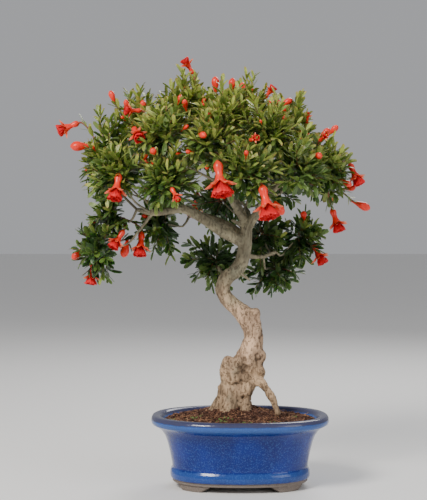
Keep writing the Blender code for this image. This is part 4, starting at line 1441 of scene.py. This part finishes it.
@dataclass
class Spray:
    """One leafy spray: its shoots, and the small leaves in pairs along them."""

    name: str
    number: int
    shoots: int = 24
    low_shoots: int = 18
    low_light: float = 0.35
    crown_middle: Place = (8, 0, 318)
    spread: float = 1.28
    shoot_points: int = 6
    shoot_radius: float = 0.0006
    shoot_taper: float = 0.00006
    ceiling: float = 0.462
    spacing: float = 0.0038
    shoot_sides: int = 5
    shoot_length: float = 0.019
    leaning_extra: float = 0.012
    upward_stretch: float = 1.3
    upward_lift: float = 0.025
    dark_below: float = 0.27
    light_rise: float = 0.15
    young_bud_share: float = 0.2
    young_bud_lengths: tuple[float, float] = (0.005, 0.009)
    young_bud_sides: int = 8
    pair_turn: float = 1.35
    leaf_lengths: tuple[float, float] = (0.011, 0.0195)
    leaf_slimness: tuple[float, float] = (0.2, 0.29)
    leaf_width: float = 0.0017
    light_narrows: float = 0.0004
    leaf_twist: float = 0.28
    leaf_scatter: float = 0.12
    open_at_foot: float = 62
    open_less_at_tip: float = 30
    draw: random.Random = field(init=False)

    def __post_init__(self) -> None:
        """Work out where the spray is and which way it grows."""
        self.centre = vec(SPRAYS[self.name][0])
        away = self.centre - vec(self.crown_middle)
        away.z = away.z * self.upward_stretch + self.upward_lift
        self.outward = away.normalized()
        self.draw = random.Random(500 + self.number)
        self.light = min(max((self.centre.z - self.dark_below) / self.light_rise, 0), 1)
        if self.light < self.low_light:
            self.shoots = self.low_shoots

    def ways(self) -> Iterator[tuple[Vector, float]]:
        """The directions of the shoots, spread evenly round the way out.

        Yields:
            Each shoot's direction, and how far it leans, from 0 to 1.
        """
        frame = facing(self.outward)
        for i in range(self.shoots):
            share = (i + 0.5) / self.shoots
            tilt = math.acos(1 - self.spread * share) + self.draw.uniform(-0.12, 0.12)
            turn = i * GOLDEN_ANGLE + self.number + self.draw.uniform(-0.2, 0.2)
            flat = Vector((math.cos(turn), math.sin(turn), 0)) * math.sin(tilt)
            yield frame @ (flat + Vector((0, 0, math.cos(tilt)))), share

    def shoot(self, way: Vector, lean: float) -> list[Vector]:
        """The line of one shoot.

        Args:
            way: its direction.
            lean: how far it leans, from 0 to 1.

        Returns:
            Its points.
        """
        length = (self.shoot_length + self.leaning_extra * lean) * self.draw.uniform(0.75, 1.2)
        if way.z > 0.6 and self.draw.random() < 0.3 * self.light:
            length = min(length * 1.6, (self.ceiling - self.centre.z) / way.z)
        lift = Vector((0, 0, 0.35 if self.light > 0.4 else -0.15))
        start = self.centre + way * 0.003
        return [start + (way + lift * t * t * 0.6) * length * t for t in np.linspace(0, 1, self.shoot_points)]

    def leaf_frame(self, along: Vector, length: float) -> Matrix:
        """The frame of one leaf.

        Args:
            along: its direction.
            length: its length in metres.

        Returns:
            The frame with its scale.
        """
        up = Vector((0, 0, 0.75)) + self.outward * 0.5
        up += Vector([self.draw.gauss(0, self.leaf_twist) for _ in range(3)])
        across = up.cross(along).normalized()
        up = along.cross(across)
        width = self.leaf_width - self.light_narrows * self.light
        width += length * self.draw.uniform(*self.leaf_slimness)
        columns = (along * length, across * width, up * length)
        return Matrix(columns).transposed()

    def build(self, leaf: bpy.types.Material, stems: bmesh.types.BMesh, buds: bmesh.types.BMesh) -> None:
        """Make the spray.

        Args:
            leaf: the leaves' finish.
            stems: the mesh that gets its shoots.
            buds: the mesh that gets the young buds at the ends of its shoots.
        """
        copies = Copies(Leaves().shapes())
        for way, lean in self.ways():
            line = self.shoot(way, lean)
            radii = [self.shoot_radius - self.shoot_taper * i for i in range(self.shoot_points)]
            tube(stems, line, radii, self.shoot_sides)
            if self.draw.random() < self.young_bud_share * self.light:
                long = self.draw.uniform(*self.young_bud_lengths)
                end = line[-1] + (line[-1] - line[-2]).normalized() * long
                Flower("young", FlowerKind.BUD, line[-1], end).bud(buds, self.young_bud_sides)
            reach = sum((after - before).length for before, after in zip(line, line[1:]))
            pairs = max(int(reach / self.spacing), 3)
            for k in range(pairs + 1):
                share = (k + 0.6) / (pairs + 0.6)
                spot = line[0].lerp(line[-1], share)
                spot += (line[3] - line[0].lerp(line[-1], 0.6)) * math.sin(share * math.pi)
                self.pair(copies, spot, (line[-1] - line[0]).normalized(), k, share)
        mesh = copies.mesh("leaves_" + self.name)
        finish_piece(mesh.name, mesh, [leaf], ["spray_" + self.name], 75)

    def pair(self, copies: Copies, spot: Vector, along: Vector, k: int, share: float) -> None:
        """Add two opposite leaves.

        Args:
            copies: what collects the leaves.
            spot: where they grow.
            along: the shoot's direction.
            k: the pair's number.
            share: how far along the shoot it is, from 0 to 1.
        """
        side = along.cross(Vector((0, 0, 1)) + self.outward * 0.3).normalized()
        side = Matrix.Rotation(k * self.pair_turn + self.number, 3, along) @ side
        open_angle = math.radians(self.open_at_foot - self.open_less_at_tip * share)
        for hand in (-1, 1):
            way = along * math.cos(open_angle) + side * hand * math.sin(open_angle)
            way += Vector([self.draw.gauss(0, self.leaf_scatter) for _ in range(3)])
            way.z += 0.12
            way.normalize()
            length = self.draw.uniform(*self.leaf_lengths) * (1.08 - 0.3 * share * share)
            # The tint is partly the leaf's age, younger towards the shoot's tip, and partly painted light:
            # lighter on high sprays and on leaves that face up.
            high = 0.02 + 0.5 * self.light + 0.3 * max(way.z, 0) + 0.55 * (share - 0.5)
            tint = min(max(high + self.draw.gauss(0, 0.16), 0), 1)
            copies.add(self.draw.randrange(6), self.leaf_frame(way, length), spot, tint)


@dataclass
class Flower:
    """One flower or bud: a waxy calyx, and for a flower its sepals, petals and anthers."""

    name: str
    kind: FlowerKind
    base: Vector
    tip: Vector
    columns: int = 10
    shell: float = 0.022
    tube_profile: tuple[tuple[float, float], ...] = (
        (0, 0.03), (0.03, 0.055), (0.07, 0.09), (0.12, 0.122), (0.18, 0.134), (0.25, 0.124),
        (0.32, 0.104), (0.4, 0.1), (0.48, 0.116), (0.56, 0.146), (0.63, 0.176),
    )
    throat_profile: tuple[tuple[float, float], ...] = ((0.56, 0.12), (0.46, 0.09), (0.38, 0.07))
    bud_profile: tuple[tuple[float, float], ...] = (
        (-0.34, 0.05), (-0.2, 0.075), (-0.05, 0.1), (0.08, 0.135), (0.2, 0.175), (0.34, 0.22),
        (0.48, 0.26), (0.6, 0.275), (0.72, 0.265), (0.82, 0.23), (0.9, 0.17), (0.96, 0.1), (1.0, 0.03),
    )
    petal_steps: int = 9
    petal_half_thickness: float = 0.00012
    anthers: int = 14
    anther_radius: float = 0.0006
    stalk_points: int = 9
    stalk_sides: int = 7
    stalk_bend: float = 0.009
    stalk_sunk: float = 0.0006

    def __post_init__(self) -> None:
        """Work out the flower's frame."""
        self.axis = self.tip - self.base
        self.length = self.axis.length
        self.frame = facing(self.axis)
        self.draw = random.Random("flower " + self.name)
        self.sepals = 6 if self.kind is FlowerKind.DOUBLE else self.draw.choice((5, 6))
        self.wide = 0.72 if self.kind is FlowerKind.HALF else 1.0

    def at(self, turn: float, radius: float, share: float) -> Vector:
        """A place in the flower.

        Args:
            turn: its angle round the axis.
            radius: its distance from the axis, as a share of the length.
            share: its place along the axis, from base to tip.

        Returns:
            The place.
        """
        flat = self.frame @ Vector((math.cos(turn), math.sin(turn), 0))
        return self.base + self.axis * share + flat * radius * self.length

    def calyx(self, bm: bmesh.types.BMesh, along: Any) -> None:
        """The calyx tube with its pointed, recurved sepals.

        Args:
            bm: the mesh that gets it.
            along: its layer for the place along the flower.
        """
        count = self.sepals * self.columns
        reaches = []
        for i in range(count):
            away = abs((i % self.columns) / self.columns - 0.5) * 2
            reaches.append(0.05 + 0.95 * max(1 - (away * 1.2) ** 1.25, 0))
        lean = [self.draw.uniform(0.8, 1.15) for _ in range(self.sepals)]
        rows: list[tuple[float, list[tuple[float, float]]]] = []
        for share, radius in self.tube_profile:
            wide = 1 + (self.wide - 1) * share
            ribbed = [radius * wide * (1 + 0.05 * reach * share) for reach in reaches]
            rows.append((share, [(share, r) for r in ribbed]))
        for inner in (False, True):
            steps = (0.2, 0.4, 0.6, 0.8, 1.0) if not inner else (0.985, 0.75, 0.5, 0.25, 0.0)
            for s in steps:
                row = []
                for i, reach in enumerate(reaches):
                    bent = lean[i // self.columns]
                    rise = 0.62 + reach * (0.27 * s - 0.12 * bent * s**3)
                    out = (0.17 + reach * (0.02 * s + 0.25 * bent * s * s)) * self.wide
                    inside = (1.04 - s) * inner
                    row.append((rise + 0.03 * s * inside, out - self.shell * inside))
                rows.append((0.64 + 0.36 * s, row))
        for share, radius in self.throat_profile:
            rows.append((share, [(share, radius * self.wide)] * count))
        rings = []
        for _, row in rows:
            turns = (2 * math.pi * i / count for i in range(count))
            rings.append([self.at(turn, radius, share) for turn, (share, radius) in zip(turns, row)])
        for (value, row), loop in zip(rows, join_rings(bm, rings)):
            for vert, reach in zip(loop, reaches):
                vert[along] = value if value < 0.64 else 0.64 + (value - 0.64) * reach

    def petal(self, bm: bmesh.types.BMesh, along: Any, turn: float, reach: float, rise: float) -> None:
        """One crumpled petal.

        Args:
            bm: the mesh that gets it.
            along: its layer for the place along the flower.
            turn: its angle round the axis.
            reach: how far out it comes.
            rise: how far up it comes.
        """
        wide = 1.15 * math.pi / self.sepals
        seed = self.draw.uniform(0, 90)
        places = []
        for i in range(self.petal_steps + 1):
            v = i / self.petal_steps
            row = []
            for j in range(self.petal_steps + 1):
                w = 2 * j / self.petal_steps - 1
                end = v * (1 - 0.14 * w * w)
                half = wide * (0.35 + 0.85 * v**0.7) * (1 - 0.3 * v**5)
                crumple = Vector((seed, v * 3.6, w * 3.4))
                ripple = 0.075 * v
                radius = 0.09 + reach * math.sin(end * 2.05) + noise.noise(crumple) * ripple
                height = 0.58 + rise * math.sin(end * 1.75) + noise.noise(crumple * 1.8) * ripple
                row.append(self.at(turn + w * half, radius * self.wide, height))
            places.append(row)
        self.sheet(bm, along, places)

    def sheet(self, bm: bmesh.types.BMesh, along: Any, places: list[list[Vector]]) -> None:
        """Close a grid of places into a thin sheet.

        Args:
            bm: the mesh that gets it.
            along: its layer for the place along the flower.
            places: the rows of the grid.
        """
        rows, columns = len(places) - 1, len(places[0]) - 1
        sides = []
        for half in (self.petal_half_thickness, -self.petal_half_thickness):
            grid = []
            for i, row in enumerate(places):
                line = []
                for j, place in enumerate(row):
                    up = places[min(i + 1, rows)][j] - places[max(i - 1, 0)][j]
                    over = row[min(j + 1, columns)] - row[max(j - 1, 0)]
                    vert = bm.verts.new(place + up.cross(over).normalized() * half)
                    vert[along] = i / rows
                    line.append(vert)
                grid.append(line)
            sides.append(grid)
        top, under = sides
        for i in range(rows):
            for j in range(columns):
                bm.faces.new((top[i][j], top[i][j + 1], top[i + 1][j + 1], top[i + 1][j]))
                bm.faces.new((under[i][j], under[i + 1][j], under[i + 1][j + 1], under[i][j + 1]))
        border = [(0, j) for j in range(columns)] + [(i, columns) for i in range(rows)]
        border += [(rows, columns - j) for j in range(columns)] + [(rows - i, 0) for i in range(rows)]
        for (i, j), (k, m) in zip(border, border[1:] + border[:1]):
            bm.faces.new((top[i][j], under[i][j], under[k][m], top[k][m]))

    def petals(self) -> bmesh.types.BMesh:
        """All the petals, in their layers, with a little thickness.

        Returns:
            Their mesh.
        """
        layers = {
            FlowerKind.OPEN: ((0.15, 0.4), (0.08, 0.42)),
            FlowerKind.HALF: ((0.1, 0.36),),
            FlowerKind.DOUBLE: ((0.19, 0.41), (0.14, 0.43), (0.09, 0.44), (0.04, 0.45)),
        }[self.kind]
        bm = bmesh.new()
        along = bm.verts.layers.float.new("along")
        for level, (reach, rise) in enumerate(layers):
            for i in range(self.sepals):
                turn = 2 * math.pi * (i + 0.5 * (level % 2)) / self.sepals
                self.petal(bm, along, turn, reach * self.draw.uniform(0.85, 1.15), rise)
        bmesh.ops.recalc_face_normals(bm, faces=bm.faces)
        return bm

    def bud(self, bm: bmesh.types.BMesh, sides: int = 20) -> None:
        """A closed bud: a club with faint ridges that meet in a blunt point.

        Args:
            bm: the mesh that gets it, with a layer for the place along the bud.
            sides: how many sides it has.
        """
        along = bm.verts.layers.float["along"]
        rings = []
        for share, radius in self.bud_profile:
            ring = []
            for i in range(sides):
                turn = 2 * math.pi * i / sides
                ridge = 1 + 0.05 * share * math.cos(5 * turn)
                ring.append(self.at(turn, radius * ridge, share))
            rings.append(ring)
        for (share, _), loop in zip(self.bud_profile, join_rings(bm, rings)):
            for vert in loop:
                vert[along] = 0.2 + 0.6 * max(share, 0)

    def stalk(self, bm: bmesh.types.BMesh, start: Vector, radius: float) -> list[Vector]:
        """The stalk from the crown to the flower.

        Args:
            bm: the mesh that gets it.
            start: where it grows from.
            radius: its radius.

        Returns:
            The stalk's line.
        """
        ahead = self.axis.normalized()
        bend = self.base - ahead * self.stalk_bend
        end = self.base + ahead * self.stalk_sunk
        steps = np.linspace(0, 1, self.stalk_points)
        line = [start.lerp(bend, t).lerp(bend.lerp(end, t), t) for t in steps]
        tube(bm, line, [radius * (1 + 0.35 * t**4) for t in steps], self.stalk_sides)
        return line

    def build(self, calyx: bpy.types.Material, petal: bpy.types.Material, anther: bpy.types.Material) -> None:
        """Make the flower as a piece of its own.

        Args:
            calyx: the calyx's finish.
            petal: the petals' finish.
            anther: the anthers' finish.
        """
        bm = bmesh.new()
        along = bm.verts.layers.float.new("along")
        if self.kind is FlowerKind.BUD:
            self.bud(bm)
        else:
            self.calyx(bm, along)
        bmesh.ops.recalc_face_normals(bm, faces=bm.faces)
        if self.kind is not FlowerKind.BUD:
            inner = bpy.data.meshes.new("petals")
            petals = self.petals()
            petals.to_mesh(inner)
            petals.free()
            first = len(bm.faces)
            bm.from_mesh(inner)
            bm.faces.ensure_lookup_table()
            for face in bm.faces[first:]:
                face.material_index = 1
            for _ in range(self.anthers):
                turn, out = self.draw.uniform(0, FULL_TURN), self.draw.uniform(0.01, 0.07)
                place = Matrix.Translation(self.at(turn, out, self.draw.uniform(0.78, 0.9)))
                dots = bmesh.ops.create_icosphere(
                    bm, subdivisions=1, radius=self.anther_radius, matrix=place
                )
                for vert in dots["verts"]:
                    for face in vert.link_faces:
                        face.material_index = 2
        mesh = to_mesh("dressed_" + self.name, bm)
        indices = np.zeros(len(mesh.polygons), np.int32)
        mesh.polygons.foreach_get("material_index", indices)
        finish_piece(mesh.name, mesh, [calyx, petal, anther], [self.name], 60)
        mesh.polygons.foreach_set("material_index", indices)


@dataclass
class Crown:
    """All the sprays, flowers, buds and stalks."""

    mottle: bpy.types.NodeTree
    flower_stalk: float = 0.0009
    bud_stalk: float = 0.0007
    sprig_places: tuple[int, ...] = (3, 4, 5, 6)
    sprig_start: float = 0.014

    def build(self) -> None:
        """Make the crown."""
        leaf = LeafFinish(self.mottle).build()
        shoot = ShootFinish(self.mottle).build()
        calyx = CalyxFinish(self.mottle).build()
        petal = PetalFinish(self.mottle).build()
        anther = PlainFinish(self.mottle, "yellow_anther", (0.8, 0.5, 0.08), (0.6, 0.3, 0.04)).build()
        stems = bmesh.new()
        sprays = [Spray(name, number) for number, name in enumerate(SPRAYS)]
        buds = bmesh.new()
        buds.verts.layers.float.new("along")
        for spray in sprays:
            spray.build(leaf, stems, buds)
        sprigs = Copies(Leaves().shapes())
        for name, (kind, base, tip) in FLOWERS.items():
            flower = Flower(name, FlowerKind(kind), vec(base), vec(tip))
            self.grow(flower, sprays, stems, sprigs, self.flower_stalk)
            flower.build(calyx, petal, anther)
        for number, (base, tip) in enumerate(BUDS):
            bud = Flower(f"bud {number}", FlowerKind.BUD, vec(base), vec(tip))
            bud.bud(buds)
            self.grow(bud, sprays, stems, sprigs, self.bud_stalk)
        finish_piece("small_buds", to_mesh("small_buds", buds), [calyx], smooth=60)
        finish_piece("shoots", to_mesh("shoots", stems), [shoot], smooth=70)
        finish_piece("sprig_leaves", sprigs.mesh("sprig_leaves"), [leaf], smooth=75)

    def grow(
        self, flower: Flower, sprays: list[Spray], stems: bmesh.types.BMesh, sprigs: Copies, radius: float
    ) -> None:
        """Join a flower to the nearest spray by a stalk, with small leaves in pairs along it.

        Args:
            flower: the flower.
            sprays: all the sprays.
            stems: the mesh that gets the stalk.
            sprigs: what collects the leaves.
            radius: the stalk's radius.
        """
        spray = min(sprays, key=lambda one: (one.centre - flower.base).length)
        line = flower.stalk(stems, spray.centre, radius)
        for k in self.sprig_places:
            ahead = (line[k + 1] - line[k - 1]).normalized()
            if (line[k] - spray.centre).length > self.sprig_start:
                spray.pair(sprigs, line[k], ahead, k, 1.0)


# Studio


@dataclass(frozen=True)
class Lamp:
    """One soft light."""

    name: str
    place: Place
    aim: Place
    size: float
    power: float
    colour: Place = (1.0, 1.0, 1.0)

    def build(self) -> None:
        """Hang the light."""
        light = bpy.data.lights.new(self.name, "AREA")
        light.size = self.size
        light.energy = self.power
        light.color = self.colour
        lamp = bpy.data.objects.new(self.name, light)
        lamp.location = self.place
        way = Vector(self.aim) - Vector(self.place)
        lamp.rotation_euler = way.to_track_quat("-Z", "Y").to_euler()
        bpy.context.scene.collection.objects.link(lamp)


@dataclass
class Studio:
    """A pale floor, soft light and the camera where the photograph was taken from."""

    distance: float = 1.5
    eye: float = 0.295
    focal: float = 1327.0
    frame_height: float = 500.0
    below_middle: float = 25.0
    floor_reach: float = 12
    floor_roughness: float = 0.7
    floor_colour: tuple[float, float, float, float] = (0.82, 0.81, 0.79, 1)
    room_colour: tuple[float, float, float, float] = (0.78, 0.79, 0.82, 1)
    room_light: float = 0.5
    lamps: tuple[Lamp, ...] = (
        Lamp("key", (-0.9, -1.25, 1.35), (0, 0, 0.28), 0.6, 44, (1.0, 0.97, 0.93)),
        Lamp("fill", (1.3, -1.1, 0.7), (0, 0, 0.25), 0.9, 9, (0.93, 0.96, 1.0)),
        Lamp("back", (0.5, 1.2, 1.3), (0, 0, 0.33), 0.8, 14),
    )

    def build(self) -> None:
        """Set up the floor, the lights and the camera."""
        bm = bmesh.new()
        bmesh.ops.create_grid(bm, x_segments=1, y_segments=1, size=self.floor_reach)
        floor = shown("floor", to_mesh("floor", bm))
        made, _, shader = Finish().start("pale_floor", Roughness=self.floor_roughness)
        shader.inputs["Base Color"].default_value = self.floor_colour
        floor.data.materials.append(made)
        floor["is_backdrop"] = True
        world = bpy.data.worlds.new("pale_room")
        world.use_nodes = True
        world.node_tree.nodes["Background"].inputs[0].default_value = self.room_colour
        world.node_tree.nodes["Background"].inputs[1].default_value = self.room_light
        bpy.context.scene.world = world
        for lamp in self.lamps:
            lamp.build()
        data = bpy.data.cameras.new("camera")
        data.lens = self.focal / self.frame_height * data.sensor_width
        camera = bpy.data.objects.new("camera", data)
        camera.location = (0, -self.distance, self.eye)
        pitch = math.atan(self.below_middle / self.focal)
        camera.rotation_euler = (math.pi / 2 - pitch, 0, 0)
        bpy.context.scene.collection.objects.link(camera)
        bpy.context.scene.camera = camera


def corners(box: tuple[Vector, Vector]) -> list[list[float]]:
    """A box as plain numbers.

    Args:
        box: its lowest and highest corner.

    Returns:
        The two corners as lists.
    """
    return [list(corner) for corner in box]


def main() -> None:
    """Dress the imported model, piece by piece."""
    logging.basicConfig(level=logging.INFO, format="%(message)s")
    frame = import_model()
    packed = corners(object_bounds())
    mottle, band = make_mottle(), make_band()
    pot = Pot()
    pot.build(GlazeFinish(mottle, band).build())
    earth = SoilFinish(mottle).build()
    fibre = PlainFinish(mottle, "root_fibre", (0.4, 0.2, 0.09), (0.22, 0.1, 0.05)).build()
    greens = ((0.06, 0.1, 0.02), (0.12, 0.17, 0.04))
    moss = PlainFinish(mottle, "moss", *greens, roughness=0.9, scale=900.0).build()
    Soil(pot).build(earth, fibre, moss)
    blacks = ((0.015, 0.015, 0.015), (0.03, 0.03, 0.03))
    screen = PlainFinish(mottle, "screen_mesh", *blacks, roughness=0.6).build()
    for name in ("drain_screen_left", "drain_screen_right"):
        frame["nodes"][name].material_slots[0].material = screen
        log.info("%s keeps its packed shape", name)
    Wood().build(BarkFinish(mottle, band).build())
    Crown(mottle).build()
    Studio().build()
    sizes = {"cad": packed, "visual": corners(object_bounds())}


if __name__ == "__main__":
    main()
